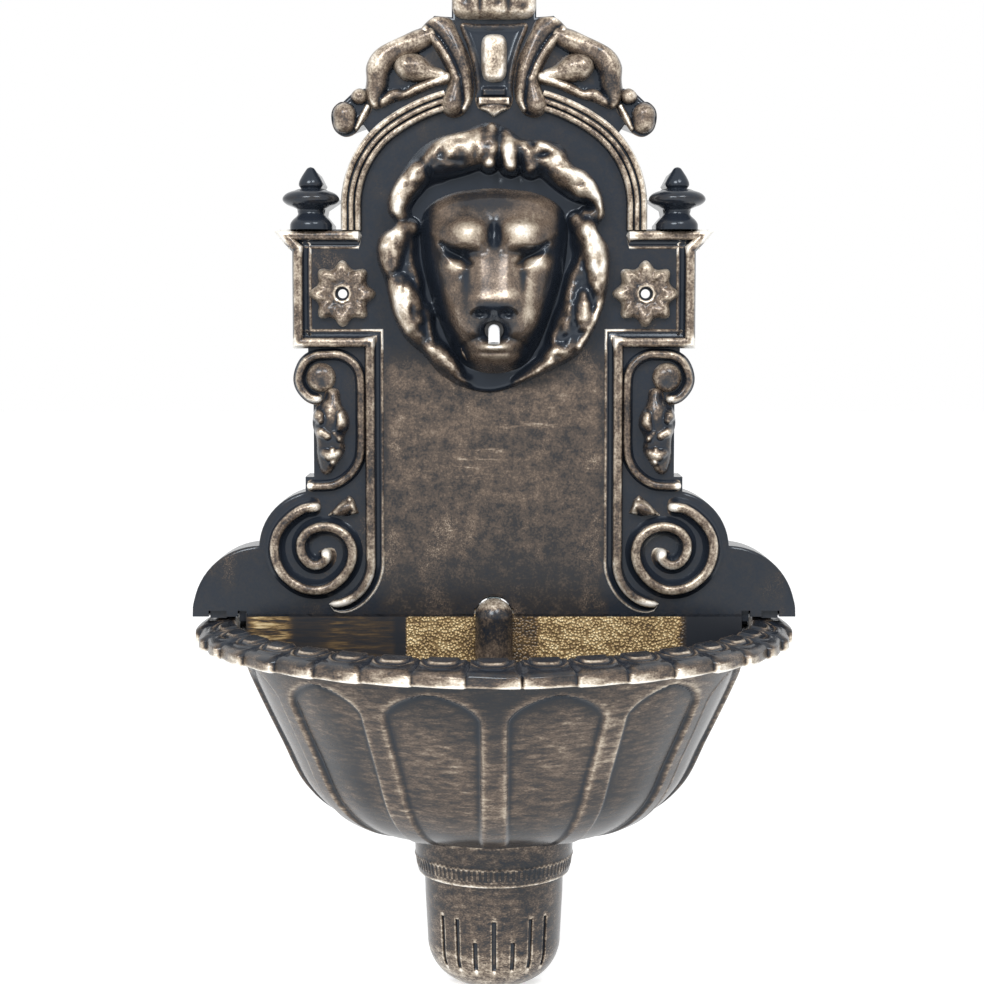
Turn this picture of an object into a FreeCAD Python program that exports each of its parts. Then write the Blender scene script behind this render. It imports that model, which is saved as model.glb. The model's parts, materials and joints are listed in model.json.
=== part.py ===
"""Garden wall fountain with a lion mask, a half-round basin and a small circulating pump.

Millimetres. +Z is up, the wall is the plane Y = 0 and the fountain stands out toward -Y.
The origin lies on the wall, midway between the two fixing holes.
"""
import FreeCAD, Part
import math
import os

# Fixing to the wall
hole_spacing = 210.0
screw_hole_r = 3.1
boss_wall = 5.0

# Moulded back panel: a tray, open toward the wall
panel_depth = 36.0
panel_wall = 3.0
seam_z = -224.0
wing_setback = 1.0
wing_r = 48.0
column_half = 126.0
box_top = 33.0
cornice_overhang = 9.0
cornice_top = 44.0
cornice_edge = 6.0
neck_half = 132.0
scroll_link = 10.0
neck_top = -127.5
mask_opening_r = 40.0
mask_opening_z = -12.0

# Arched head of the panel, a basket-handle arch
arch_half = 92.0
arch_spring_z = 60.0
arch_crown_z = 130.0
arch_side_r = 60.0
arch_band = 13.5
band_height = 6.0
bead_height = 2.6

# Ridged frame beside the arch
ridge_half = 3.3
ridge_height = 8.0
ridge_land = 0.7
cornice_ridge_z = 40.0
rosette_side_gap = 4.2
rosette_foot_gap = 7.2
upright_x = 86.0
tail_r = 30.0
tail_z = -187.0

# Volutes and upper scrolls of the side consoles
volute_x = 124.0
volute_z = -178.0
volute_r = 41.0
volute_start_r = 30.0
volute_step = 3.7
volute_turn_quarters = 7
scroll_x = 119.5
scroll_z = -58.0
scroll_r = 16.5
scroll_upright_gap = 0.6
scroll_foot_z = -133.5
scroll_foot_r = 26.0
scroll_ridge_half = 2.6
scroll_ridge_height = 7.0
eye_r = 9.5
leaf_height = 6.0

# Eight-pointed rosettes round the fixing holes
rosette_r = 23.0
rosette_waist_r = 18.2
rosette_height = 9.0
rosette_dish = 4.0
rosette_bore_r = 4.9
rosette_tips = 8
rosette_flare = 7.0
rosette_bevel = 2.0

# Turned finials on the cornice
finial_x = 126.5
finial_neck_r = 9.0
finial_disc_r = 19.5
finial_disc_z = 65.0
finial_disc_half = 6.5
finial_acorn_r = 8.6
finial_tip_z = 87.0
finial_base_r = 14.5
finial_step = 4.0

# Crest over the arch
cap_half = 29.0
cap_bottom = 187.0
cap_top = 210.0
cap_height = 15.0
shield_thick = 2.5
ledge_half = 10.0
ledge_drop = 10.0
ledge_height = 6.0
ledge_thick = 3.5
cabochon_half = 8.6
cabochon_top = 177.0
cabochon_bottom = 144.5
cabochon_height = 9.0
strap_half = 4.6
strap_height = 9.5
strap_foot_r = 6.6
crest_leaf_height = 7.5
strap_foot_x = -24.0
strap_foot_z = 129.0
knob_moat = 1.5
knob_x = -53.0
knob_z = 155.0
knob_rx = 12.5
knob_rz = 10.0
knob_height = 11.0
ball_r = 9.0
ball_x = -103.0
ball_z = 121.5
bead_r = 5.2
bead_x = -92.5
bead_z = 135.5
band_end_x = 31.5

# Lion mask
mane_height = 24.0
mane_fullness = 9.0
mane_locks = 9
mane_centre_z = 18.0
mane_twist = 0.06
relief_step = 6.0
mask_wall = 4.0
face_rim_height = 18.0
mouth_z = -25.0
mouth_hole_r = 6.4

# Basin
rim_inner_r = 183.0
rim_width = 24.0
lobe_depth = 6.0
rim_height = 16.5
rim_gap = 3.5
rim_round = 7.0
rim_lobes = 19
lobe_gap_deg = 0.7
lobe_drop = 0.6
lip_wall = 4.5
lip_drop = 2.5
bowl_wall = 5.0
flange_thick = 3.0
flange_width = 13.0
bowl_shoulder_r = 174.0
bowl_shoulder_z = -271.0
bowl_waist_r = 154.0
bowl_waist_z = -314.0
bowl_belly_r = 136.0
bowl_belly_z = -349.0
bowl_turn_r = 108.0
bowl_turn_z = -372.0
bowl_bottom_r = 62.0
bowl_bottom_z = -385.0
floor_thick = 10.0
petals = 6
petal_pitch_deg = 27.5
petal_depth = 2.4
petal_rib = 13.0
petal_foot_rib = 7.0
petal_top_z = -256.0
petal_point_drop = 6.0
petal_shoulder_drop = 19.5
petal_foot_rise = 3.0
back_wall_thick = 3.0
notch_below_bend = 14.0
notch_clear = 2.0
cover_clear = 0.7
tab_thick = 8.0
tab_height = 9.0
tab_setback = 1.5
lip_tab_width = 5.0
rim_tab_offset = 9.0
rim_tab_width = 11.5
slot_clear = 0.6
slit_height = 2.2

# Hanging pendant under the basin
collar_top_r = 57.5
collar_bottom_r = 55.0
collar_height = 31.0
collar_thick = 3.5
collar_step = 0.5
collar_step_rise = 12.0
dentil_count = 15
dentil_width = 2.0
dentil_height = 8.0
dentil_rise = 5.0
dentil_stand = 0.6
pendant_bottom_z = -498.0
pendant_taper = 3.0
pendant_round = 32.0
pendant_wall = 3.5
flute_width = 3.0
flute_depth = 1.6
flute_count = 7
flute_spread_deg = 96.0
flute_foot_rise = 19.0
long_flute = 37.0
short_flute = 21.0
short_flutes = (2, 4)

# Water way
hose_bore = 8.0
hose_wall = 1.25
push_fit = 0.05
hose_back_y = -17.5
hose_turn_z = -270.0
hose_slant = 66.0
hose_slant_r = 60.0
hose_bend_r = 30.0
hose_end_run = 9.0
hose_foot_gap = 3.0
spout_wall = 1.25
spout_droop_deg = 75.0
spout_stand = 3.5
spout_reach = 9.0
spout_grip = 8.5
grommet_length = 9.5
cover_wall = 1.5
cover_top_z = -213.0
cover_bottom_z = -300.0
clip_heights = (-160.0, -100.0)
clip_width = 8.0
clip_wall = 2.0
clip_foot_half = 12.0
clip_post_half = 5.0
clamp_width = 6.0
clamp_wall = 0.8
clamp_from_foot = 3.0
clamp_from_end = 2.0
lug_reach = 5.0
lug_width = 5.0
lug_inset = 0.5

# Pump, lying across the basin floor with its shaft along X
pump_height = 46.0
pump_width = 34.0
motor_length = 31.0
chamber_length = 12.0
intake_length = 12.0
chamber_r = 12.8
shaft_rise = 29.0
pump_wall = 2.2
rotor_r = 7.2
rotor_length = 21.0
rotor_gap = 0.6
shaft_r = 1.0
bush_r = 2.8
bush_length = 3.0
impeller_r = 10.8
impeller_vanes = 6
impeller_width = 6.0
nozzle_wall = 1.4
nozzle_height = 16.0
pump_wall_gap = 0.8
outlet_land = 0.5
rotor_end_gap = 2.0
rotor_front_gap = 0.6
impeller_front_gap = 1.5
impeller_hub_r = 3.0
impeller_disc = 1.5
vane_thick = 1.0
shaft_end_gap = 0.5
core_leg = 2.6
core_gap = 1.5
core_bar = 6.0
core_rise = 5.0
core_setback = 4.0
coil_rise = 2.5
coil_gap = 2.0
coil_margin = 0.6
coil_overhang = 2.0
eye_ring = 3.5
spoke_width = 2.0
hub_wall = 1.3
slit_width = 2.0
slit_length = 6.0
slit_pitch = 4.5
slit_margin = 6.0
dial_r = 9.0
dial_thick = 2.4
dial_pin_r = 2.0
dial_pin_tip = 1.2
lever_width = 3.0
lever_reach = 4.0
window_offset = 5.2
window_half = 2.0
gland_r = 4.5
gland_length = 9.0
gland_plug_r = 3.15
gland_plug_depth = 4.0
gland_flange = 2.0
gland_nose_r = 2.7
gland_drop = 4.0
cord_bore_r = 1.8
cup_r = 5.5
cup_top_r = 2.75
cup_height = 4.0
cup_inset = 1.0

# Clearances
seat_gap = 0.3
running_gap = 0.05

# Cutting bars run past what they cut by this much, and cutting blocks are larger than the fountain
past = 1.0
far = 600.0

V = FreeCAD.Vector
face_y = -panel_depth
screw_x = hole_spacing / 2
box_ridge_x = screw_x + rosette_r + rosette_side_gap + ridge_half
box_ridge_z = -(rosette_r + rosette_foot_gap + ridge_half)
box_half = box_ridge_x + ridge_half + ridge_land
box_bottom = box_ridge_z - ridge_half - ridge_land
cornice_half = box_half + cornice_overhang
scroll_back_x = upright_x + ridge_half + scroll_ridge_half + scroll_upright_gap
hose_r = hose_bore / 2 + hose_wall
hose_stand_off = clamp_wall + running_gap + seat_gap / 2
hose_front_y = face_y - hose_stand_off - hose_r
cover_bore = hose_stand_off + 2 * hose_r + seat_gap
cover_r = cover_bore + cover_wall
rim_top_z = seam_z - rim_gap
rim_bottom_z = rim_top_z - rim_height
lip_r = rim_inner_r - seat_gap
rim_ring_r = rim_inner_r + rim_width
rim_lobe_r = rim_ring_r + lobe_depth
flange_r = rim_inner_r + flange_width
half_width = rim_lobe_r - wing_setback
floor_z = bowl_bottom_z + floor_thick
pump_bottom_z = floor_z + cup_height
shaft_z = pump_bottom_z + shaft_rise
pump_top_z = pump_bottom_z + pump_height
spout_r = hose_bore / 2 - push_fit
nozzle_bore_r = spout_r - nozzle_wall
pump_back_y = face_y - pump_wall_gap
pump_front_y = pump_back_y - pump_width
shaft_y = hose_front_y - (chamber_r - nozzle_bore_r - outlet_land)
well_r = rotor_r + rotor_gap
chamber_x = chamber_length / 2
motor_x = chamber_x + motor_length
intake_x = -chamber_x - intake_length
rotor_x = chamber_x + rotor_length
bush_x = rotor_x + rotor_end_gap
core_x0 = chamber_x + core_setback
core_x1 = rotor_x
gland_z = pump_top_z - gland_r - gland_drop
hose_end_y = hose_back_y - hose_bend_r - hose_end_run
hose_foot_z = pump_top_z + hose_foot_gap

# Half-section of the bowl from its flange down to its foot, as radius and height.
bowl_curve = [
    (lip_r, rim_bottom_z - flange_thick),
    (bowl_shoulder_r, bowl_shoulder_z),
    (bowl_waist_r, bowl_waist_z),
    (bowl_belly_r, bowl_belly_z),
    (bowl_turn_r, bowl_turn_z),
    (bowl_bottom_r, bowl_bottom_z),
]

# Outer edge of the mane, from the tuft at its top down the left side and up the right.
mane_edge = [
    (-4.0, 117.5), (-19.5, 112.0), (-40.5, 106.0), (-54.5, 95.5), (-70.5, 72.5), (-73.5, 57.5),
    (-68.5, 48.0), (-79.5, 38.5), (-81.0, 24.5), (-75.5, 8.0), (-70.5, -13.0), (-61.5, -31.0),
    (-48.5, -43.0), (-37.5, -55.5), (-22.0, -64.5), (-4.0, -68.5), (14.0, -64.5), (37.0, -54.5),
    (57.5, -43.0), (68.0, -27.5), (77.0, -5.5), (80.0, 18.5), (79.0, 32.0), (71.5, 45.0),
    (76.5, 55.0), (72.5, 72.5), (64.5, 83.0), (53.5, 89.0), (48.0, 100.5), (36.5, 105.0),
    (20.0, 106.0), (10.0, 113.0),
]

# Edge of the face inside the mane, right half from the forehead to the chin.
face_edge_right = [
    (0.0, 75.5), (23.0, 73.5), (39.0, 67.5), (50.5, 58.0), (54.0, 42.0), (53.5, 20.0),
    (50.0, 2.0), (41.0, -14.0), (33.0, -28.0), (28.0, -42.0), (19.0, -52.0), (0.0, -56.0),
]

# Forms of the face: centre x and z, spread in x and z, and height. Those off the centre line
# are doubled by mirroring.
face_forms = [
    (0.0, 22.0, 46.0, 52.0, 17.0),
    (0.0, -14.0, 22.0, 24.0, 13.0),
    (0.0, -3.0, 13.0, 14.0, 9.0),
    (19.0, 42.0, 14.0, 9.0, 7.0),
    (0.0, 14.0, 11.0, 22.0, 6.0),
    (27.0, 25.0, 9.0, 5.0, -8.0),
    (0.0, 40.0, 4.0, 9.0, -5.0),
    (14.0, -17.0, 9.0, 9.0, 5.0),
    (0.0, -37.0, 15.0, 7.0, 5.0),
    (9.0, -31.0, 11.0, 3.5, -5.0),
    (36.0, 6.0, 12.0, 16.0, 4.0),
]

# Silhouette of the crest leaf, left side, and of the shield between the straps, right half.
leaf_edge = [
    (-43.0, 181.0), (-51.0, 179.0), (-62.5, 172.5), (-79.5, 165.0), (-84.5, 156.0),
    (-82.5, 145.5), (-86.0, 135.5), (-78.0, 126.5), (-68.0, 131.0), (-55.0, 138.5),
    (-40.0, 144.0), (-31.0, 146.5), (-30.0, 157.0), (-36.0, 170.0),
]
shield_edge_right = [(0.0, 184.0), (24.0, 184.0), (14.5, 158.0), (12.5, 140.0), (12.5, 130.0), (0.0, 121.0)]
# Outline of the crest's backing, right half, from the cap down into the arch.
crest_edge_right = [
    (0.0, cap_top), (cap_half, cap_top), (cap_half, cap_bottom + 2.0), (41.0, 190.0), (51.0, 180.5),
    (64.0, 174.0), (80.5, 166.5), (86.0, 157.0), (84.5, 146.0), (88.0, 141.0), (96.0, 139.0), (108.0, 128.0),
    (109.0, 116.0), (99.0, 112.5), (90.0, 116.0), (84.0, 108.0), (60.0, 106.0), (0.0, 106.0),
]

# Outline of the husk on the scroll's foot and of the small leaf over the volute, left side.
husk_edge = [
    (-121.0, -79.0), (-112.0, -78.5), (-105.5, -84.0), (-103.5, -92.0), (-106.5, -100.0),
    (-105.0, -109.0), (-110.0, -117.0), (-117.0, -125.0), (-122.0, -119.0), (-123.5, -109.0),
    (-121.5, -99.0), (-124.5, -89.0),
]
small_leaf_edge = [(-116.5, -146.5), (-101.5, -141.0), (-95.5, -149.5), (-100.0, -151.5)]

# Line of the crest strap, left side, from under the cap to its foot.
strap_line = [(-37.0, 181.5), (-23.0, 159.0), (-19.5, 134.0)]


def box(x0, x1, y0, y1, z0, z1):
    return Part.makeBox(x1 - x0, y1 - y0, z1 - z0, V(x0, y0, z0))


def rod_y(x, z, r, y0, y1):
    """A round bar along Y from y0 (nearer the wall) to y1 (further out, smaller)."""
    return Part.makeCylinder(r, y0 - y1, V(x, y0, z), V(0, -1, 0))


def rod_x(x0, x1, y, z, r):
    return Part.makeCylinder(r, x1 - x0, V(x0, y, z), V(1, 0, 0))


def rod_z(x, y, z0, z1, r):
    return Part.makeCylinder(r, z1 - z0, V(x, y, z0), V(0, 0, 1))


def prism(points, y0, y1):
    """Straight-edged outline in XZ, extruded from y0 out to y1."""
    corners = [V(x, y0, z) for x, z in points]
    return Part.Face(Part.makePolygon(corners + corners[:1])).extrude(V(0, y1 - y0, 0))


def smooth_face(points, y):
    """Face in the plane y whose edge is one smooth closed curve through the points."""
    curve = Part.BSplineCurve()
    curve.interpolate(Points=[V(x, y, z) for x, z in points], PeriodicFlag=True)
    return Part.Face(Part.Wire([curve.toShape()]))


def smooth_prism(points, y0, y1):
    return smooth_face(points, y0).extrude(V(0, y1 - y0, 0))


def fuse(shapes):
    joined = shapes[0] if len(shapes) == 1 else shapes[0].multiFuse(shapes[1:])
    return joined.removeSplitter()


def mirror(shape):
    return shape.mirror(V(0, 0, 0), V(1, 0, 0))


def mirrored_points(right):
    """Closed outline from its right half, which runs from the top to the bottom on x = 0."""
    return right + [(-x, z) for x, z in right[-2:0:-1]]


def shrink(points, by):
    """Moves every point of an outline toward the outline's middle by a fixed distance."""
    cx = sum(x for x, z in points) / len(points)
    cz = sum(z for x, z in points) / len(points)
    moved = []
    for x, z in points:
        reach = math.hypot(x - cx, z - cz)
        share = 1 - by / reach
        moved.append((cx + (x - cx) * share, cz + (z - cz) * share))
    return moved


def save(name, *solids):
    """Writes one named piece, which may be a group of separate solids."""
    for solid in solids:
        if not solid.isValid() or solid.Volume <= 0:
            print("bad solid in", name)
    shape = solids[0] if len(solids) == 1 else Part.makeCompound(list(solids))
    shape.exportStep("parts/%s.step" % name)
    print("%-24s %d solid(s) %10.1f mm3" % (name, len(shape.Solids), shape.Volume))


def save_pair(name, left):
    save(name + "_left", left)
    save(name + "_right", mirror(left))


def arch_points(offset):
    """Key points of the arch line moved outward by offset: foot, side joint, crown joint, top."""
    rise = arch_crown_z - arch_spring_z
    side_x = arch_half - arch_side_r
    crown_r = (side_x ** 2 + rise ** 2 - arch_side_r ** 2) / (2 * (rise - arch_side_r))
    crown_cz = arch_crown_z - crown_r
    reach = math.hypot(side_x, arch_spring_z - crown_cz)
    ux, uz = side_x / reach, (arch_spring_z - crown_cz) / reach
    joint = ((crown_r + offset) * ux, crown_cz + (crown_r + offset) * uz)
    half_turn = math.atan2(uz, ux) / 2
    side_r = arch_side_r + offset
    middle = (side_x + side_r * math.cos(half_turn), arch_spring_z + side_r * math.sin(half_turn))
    return (arch_half + offset, arch_spring_z), middle, joint, (0.0, arch_crown_z + offset)


def arch_edges(offset, foot_z, y):
    """Edges of the arch line from its left foot over the crown to its right foot."""
    (sx, sz), (mx, mz), (jx, jz), (tx, tz) = arch_points(offset)
    return [
        Part.LineSegment(V(-sx, y, foot_z), V(-sx, y, sz)).toShape(),
        Part.Arc(V(-sx, y, sz), V(-mx, y, mz), V(-jx, y, jz)).toShape(),
        Part.Arc(V(-jx, y, jz), V(tx, y, tz), V(jx, y, jz)).toShape(),
        Part.Arc(V(jx, y, jz), V(mx, y, mz), V(sx, y, sz)).toShape(),
        Part.LineSegment(V(sx, y, sz), V(sx, y, foot_z)).toShape(),
    ]


def arch_slab(offset, foot_z, y0, y1):
    edges = arch_edges(offset, foot_z, y0)
    half = arch_half + offset
    edges.append(Part.LineSegment(V(half, y0, foot_z), V(-half, y0, foot_z)).toShape())
    return Part.Face(Part.Wire(edges)).extrude(V(0, y1 - y0, 0))


def both_sides(make):
    """The shape made for the right side, and its mirror image."""
    right = make()
    return [right, mirror(right)]


def panel_body(inset, y0, y1):
    """The panel's whole outline as a slab, with every outer edge drawn in by inset."""
    e = inset
    parts = [
        arch_slab(arch_band - e, 0.0, y0, y1),
        box(-box_half + e, box_half - e, y1, y0, box_bottom + e, box_top - e),
        box(-column_half + e, column_half - e, y1, y0, seam_z + e, box_top - e),
        box(-neck_half + e, neck_half - e, y1, y0, volute_z, neck_top - e),
    ]
    cornice = [
        (0.0, cornice_top - e), (cornice_half - e, cornice_top - e),
        (cornice_half - e, cornice_top - cornice_edge + e), (box_half - e, box_top - e), (0.0, box_top - e),
    ]
    link_x = scroll_x + scroll_link
    parts += both_sides(lambda: prism(cornice, y0, y1))
    parts += both_sides(lambda: rod_y(scroll_x, scroll_z, scroll_r + ridge_half - e, y0, y1))
    parts += both_sides(lambda: box(scroll_x, link_x - e, y1, y0, scroll_z, box_bottom + scroll_link))
    parts += both_sides(lambda: rod_y(volute_x, volute_z, volute_r - e, y0, y1))
    wing_x = half_width - wing_r
    parts += both_sides(lambda: rod_y(wing_x, seam_z, wing_r - e, y0, y1))
    parts.append(box(-wing_x, wing_x, y1, y0, seam_z + e, seam_z + wing_r - e))
    parts.append(crest_slab(e, y0, y1))
    below = box(-far, far, y1 - past, y0 + past, -far, seam_z + e)
    return fuse(parts).cut(below)


def crest_slab(inset, y0, y1):
    """Backing of the crest: everything between the cap, the leaves and the arch."""
    corners = [V(x, y0, z) for x, z in mirrored_points(crest_edge_right)]
    outline = Part.Face(Part.makePolygon(corners + corners[:1]))
    if inset > 0:
        outline = outline.makeOffset2D(-inset)
    return outline.extrude(V(0, y1 - y0, 0))


def finial_profile():
    """Half-outline of the finial as radius and height, from its tip down to the cornice."""
    top = finial_disc_z + finial_disc_half
    low = finial_disc_z - finial_disc_half
    return [
        (0.0, finial_tip_z), (finial_acorn_r * 0.55, finial_tip_z - finial_step),
        (finial_acorn_r, top + finial_step), (finial_acorn_r * 0.8, top + 1.0),
        (finial_disc_r * 0.55, top), (finial_disc_r, finial_disc_z), (finial_disc_r * 0.5, low),
        (finial_neck_r, low - finial_step), (finial_base_r, cornice_top + finial_step),
        (finial_base_r, cornice_top), (0.0, cornice_top),
    ]


def finial_slab(y0, y1):
    """Backing of one finial on the right."""
    right = [(finial_x + r, z) for r, z in finial_profile()]
    left = [(finial_x - r, z) for r, z in finial_profile()[-2:0:-1]]
    return prism(right + left, y0, y1)


def ball_places():
    """Centre and radius of the two berries beside each crest leaf, left side."""
    return [(ball_x, ball_z, ball_r), (bead_x, bead_z, bead_r)]


def tab_spans():
    """The x range and foot height of the two hooking tabs on the right: on the lip and on the rim."""
    front = tab_y()[0]
    lip_x = math.sqrt((lip_r - seat_gap) ** 2 - front ** 2)
    rim_x = lip_x + rim_tab_offset
    return [(lip_x - lip_tab_width, lip_x, rim_top_z - lip_drop), (rim_x, rim_x + rim_tab_width, rim_top_z)]


def tab_y():
    """The y range of the hooking tabs, behind the panel's face sheet."""
    front = face_y + panel_wall + tab_setback
    return front, front + tab_thick


def make_back_panel():
    shell = panel_body(0.0, 0.0, face_y)
    extras = both_sides(lambda: finial_slab(0.0, face_y))
    for x, z, r in ball_places():
        extras += [rod_y(x, z, r, 0.0, face_y), rod_y(-x, z, r, 0.0, face_y)]
    shell = fuse([shell] + extras)
    hollow = panel_body(panel_wall, past, face_y + panel_wall)
    for side in (-1, 1):
        hollow = hollow.cut(rod_y(side * screw_x, 0, screw_hole_r + boss_wall, 2 * past, face_y))
    shell = shell.cut(hollow)
    for side in (-1, 1):
        shell = shell.cut(rod_y(side * screw_x, 0, screw_hole_r, past, face_y - past))
    shell = shell.cut(rod_y(0, mask_opening_z, mask_opening_r, past, face_y - past))
    sheet_y = face_y + panel_wall
    half = cover_r + cover_clear
    low, high = seam_z - past, seam_z + panel_wall + past
    notch = fuse([
        box(-half, half, face_y - past, hose_back_y + hose_r + notch_clear, low, high),
        rod_y(0, cover_top_z + cover_clear - half, half, sheet_y + past, face_y - past),
    ])
    shell = shell.cut(notch)
    back = tab_y()[1] + slot_clear
    slots = []
    for x0, x1, foot_z in tab_spans():
        left, right = x0 - slot_clear, x1 + slot_clear
        slot = box(left, right, sheet_y, back, low, high)
        slit = box(left, right, face_y - past, sheet_y + past, low, seam_z + slit_height)
        slots += [slot, slit, mirror(slot), mirror(slit)]
    return shell.cut(Part.makeCompound(slots))


def make_arch_moulding():
    """Left half of the three-beaded band round the arch, from the cornice ridge to the crest strap."""
    foot_z = cornice_ridge_z + ridge_half + seat_gap
    third = arch_band / 3
    groove = third * 0.1

    def ring(inner, outer, height):
        wide = arch_slab(outer, foot_z, face_y, face_y - height)
        return wide.cut(arch_slab(inner, foot_z - past, face_y + past, face_y - height - past))

    band = [ring(0.0, arch_band, band_height)]
    for k in range(3):
        band.append(ring(k * third + groove, (k + 1) * third - groove, band_height + bead_height))
    left = box(-far, -band_end_x, -far, face_y + past, foot_z - past, far)
    return fuse(band).common(left)


def ridge_profile(point, normal, half, height):
    """Half-round ridge section standing on the face plane at a point of its path."""
    left = point + normal * half
    right = point - normal * half
    crest = point + V(0, -height, 0)
    side = V(0, -max(height - half, height * 0.1), 0)
    edges = [
        Part.LineSegment(left, left + side).toShape(),
        Part.Arc(left + side, crest, right + side).toShape(),
        Part.LineSegment(right + side, right).toShape(),
        Part.LineSegment(right, left).toShape(),
    ]
    return Part.Wire(edges)


def ridge(path_edges, half, height, corner=0):
    """A half-round ridge swept along a path that lies in the face plane."""
    path = Part.Wire(path_edges)
    start = path.OrderedEdges[0]
    point = start.valueAt(start.FirstParameter)
    tangent = start.tangentAt(start.FirstParameter)
    normal = tangent.cross(V(0, 1, 0))
    return path.makePipeShell([ridge_profile(point, normal, half, height)], True, False, corner)


def make_side_frame():
    """Left ridge: along the cornice, round the rosette box, down the upright and into its tail."""
    y = face_y
    cornice_x = cornice_half - ridge_half - ridge_land
    points = [
        (-arch_half, cornice_ridge_z), (-cornice_x, cornice_ridge_z),
        (-box_ridge_x, cornice_ridge_z - cornice_x + box_ridge_x),
        (-box_ridge_x, box_ridge_z), (-upright_x, box_ridge_z), (-upright_x, tail_z),
    ]
    edges = []
    for a, b in zip(points, points[1:]):
        edges.append(Part.LineSegment(V(a[0], y, a[1]), V(b[0], y, b[1])).toShape())
    diagonal = tail_r * math.sqrt(0.5)
    cx = -upright_x - tail_r
    corner = V(cx + diagonal, y, tail_z - diagonal)
    edges.append(Part.Arc(V(-upright_x, y, tail_z), corner, V(cx, y, tail_z - tail_r)).toShape())
    return ridge(edges, ridge_half, ridge_height, 1)


def spiral_edges(cx, cz, r, step, quarters, y):
    """Quarter arcs of shrinking radius, from the top, turning left and down, each tangent to the next."""
    edges = []
    angle = math.pi / 2
    for k in range(quarters):
        a, b = angle, angle + math.pi / 2
        mid = (a + b) / 2
        points = [V(cx + r * math.cos(t), y, cz + r * math.sin(t)) for t in (a, mid, b)]
        edges.append(Part.Arc(*points).toShape())
        cx += step * math.cos(b)
        cz += step * math.sin(b)
        r -= step
        angle = b
    return edges


def make_volute():
    edges = spiral_edges(-volute_x, volute_z, volute_start_r, volute_step, volute_turn_quarters, face_y)
    return ridge(edges, ridge_half, ridge_height)


def make_upper_scroll():
    """C-scroll: round its eye, over the top, down the back and out along the foot."""
    y = face_y
    cx, cz, r = -scroll_x, scroll_z, scroll_r - ridge_land
    back = -scroll_back_x
    top_z = cz + r
    shoulder_cx = back - r
    foot_cx = back - scroll_foot_r
    foot_z = scroll_foot_z
    half = math.sqrt(0.5)
    edges = [
        Part.Arc(V(cx, y, cz - r), V(cx - r, y, cz), V(cx, y, top_z)).toShape(),
        Part.LineSegment(V(cx, y, top_z), V(shoulder_cx, y, top_z)).toShape(),
        Part.Arc(
            V(shoulder_cx, y, top_z), V(shoulder_cx + r * half, y, cz + r * half), V(back, y, cz)).toShape(),
        Part.LineSegment(V(back, y, cz), V(back, y, foot_z + scroll_foot_r)).toShape(),
        Part.Arc(
            V(back, y, foot_z + scroll_foot_r),
            V(foot_cx + scroll_foot_r * half, y, foot_z + scroll_foot_r * (1 - half)),
            V(foot_cx, y, foot_z)).toShape(),
        Part.LineSegment(V(foot_cx, y, foot_z), V(-neck_half + ridge_land, y, foot_z)).toShape(),
    ]
    return ridge(edges, scroll_ridge_half, scroll_ridge_height)


def dome(x, z, rx, rz, height):
    """Low boss on the face plane: half an ellipsoid with its flat side on the panel."""
    ball = Part.makeSphere(1.0)
    matrix = FreeCAD.Matrix()
    matrix.scale(rx, height, rz)
    egg = ball.transformGeometry(matrix)
    egg.translate(V(x, face_y, z))
    return egg.common(box(-far, far, -far, face_y, -far, far))


def make_scroll_eye():
    return dome(-scroll_x, scroll_z, eye_r, eye_r, leaf_height + 1)


def stepped_relief(points, height, inset):
    """Relief with a lower band round a higher middle, both from the same outline."""
    low = smooth_prism(points, face_y, face_y - height * 0.6)
    high = smooth_prism(shrink(points, inset), face_y, face_y - height)
    return fuse([low, high])


def make_husk():
    return stepped_relief(husk_edge, leaf_height + 2, 2.2)


def make_small_leaf():
    return prism(small_leaf_edge, face_y, face_y - leaf_height)


def make_rosette():
    """Scalloped star with a dished middle and a bore that clears the screw head."""
    pitch = 2 * math.pi / rosette_tips
    edges = []
    for k in range(rosette_tips):
        points = [(rosette_r, k * pitch), (rosette_waist_r, (k + 0.5) * pitch), (rosette_r, (k + 1) * pitch)]
        corners = [V(-screw_x + r * math.sin(t), face_y, r * math.cos(t)) for r, t in points]
        edges.append(Part.Arc(*corners).toShape())
    star = Part.Face(Part.Wire(edges)).extrude(V(0, -rosette_height, 0))
    top = face_y - rosette_height
    dish_foot = V(-screw_x, top + rosette_dish, 0)
    dish = Part.makeCone(rosette_dish, rosette_waist_r, rosette_dish, dish_foot, V(0, -1, 0))
    bevel_out = Part.makeCone(
        rosette_r + rosette_flare, rosette_waist_r - rosette_bevel, rosette_height, V(-screw_x, face_y, 0),
        V(0, -1, 0))
    star = star.common(bevel_out).cut(dish)
    return star.cut(rod_y(-screw_x, 0, rosette_bore_r, face_y + past, top - past))


def make_finial():
    """Half-turned urn with its flat side on the panel."""
    corners = [V(r, face_y, z) for r, z in finial_profile()]
    outline = Part.Face(Part.makePolygon(corners + corners[:1]))
    turned = outline.revolve(V(0, face_y, 0), V(0, 0, 1), -180)
    turned.translate(V(-finial_x, 0, 0))
    return turned


def make_crest_cap():
    """Cushion of three lobes over the shield."""
    third = cap_half / 3
    middle_z = (cap_top + cap_bottom) / 2
    rise = (cap_top - cap_bottom) / 2
    base = box(-cap_half, cap_half, face_y - cap_height * 0.45, face_y, cap_bottom, cap_top)
    lobes = []
    for k in (-1, 0, 1):
        lobes.append(dome(k * 2 * third, middle_z, third * 1.12, rise * 0.96, cap_height))
    return fuse([base] + lobes)


def make_shield():
    plate = prism(mirrored_points(shield_edge_right), face_y, face_y - shield_thick)
    ledge_z = cabochon_bottom - ledge_drop
    front = face_y - shield_thick - ledge_thick
    half_high = ledge_height / 2
    ledge = box(-ledge_half, ledge_half, front, face_y, ledge_z - half_high, ledge_z + half_high)
    return fuse([plate, ledge])


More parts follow.
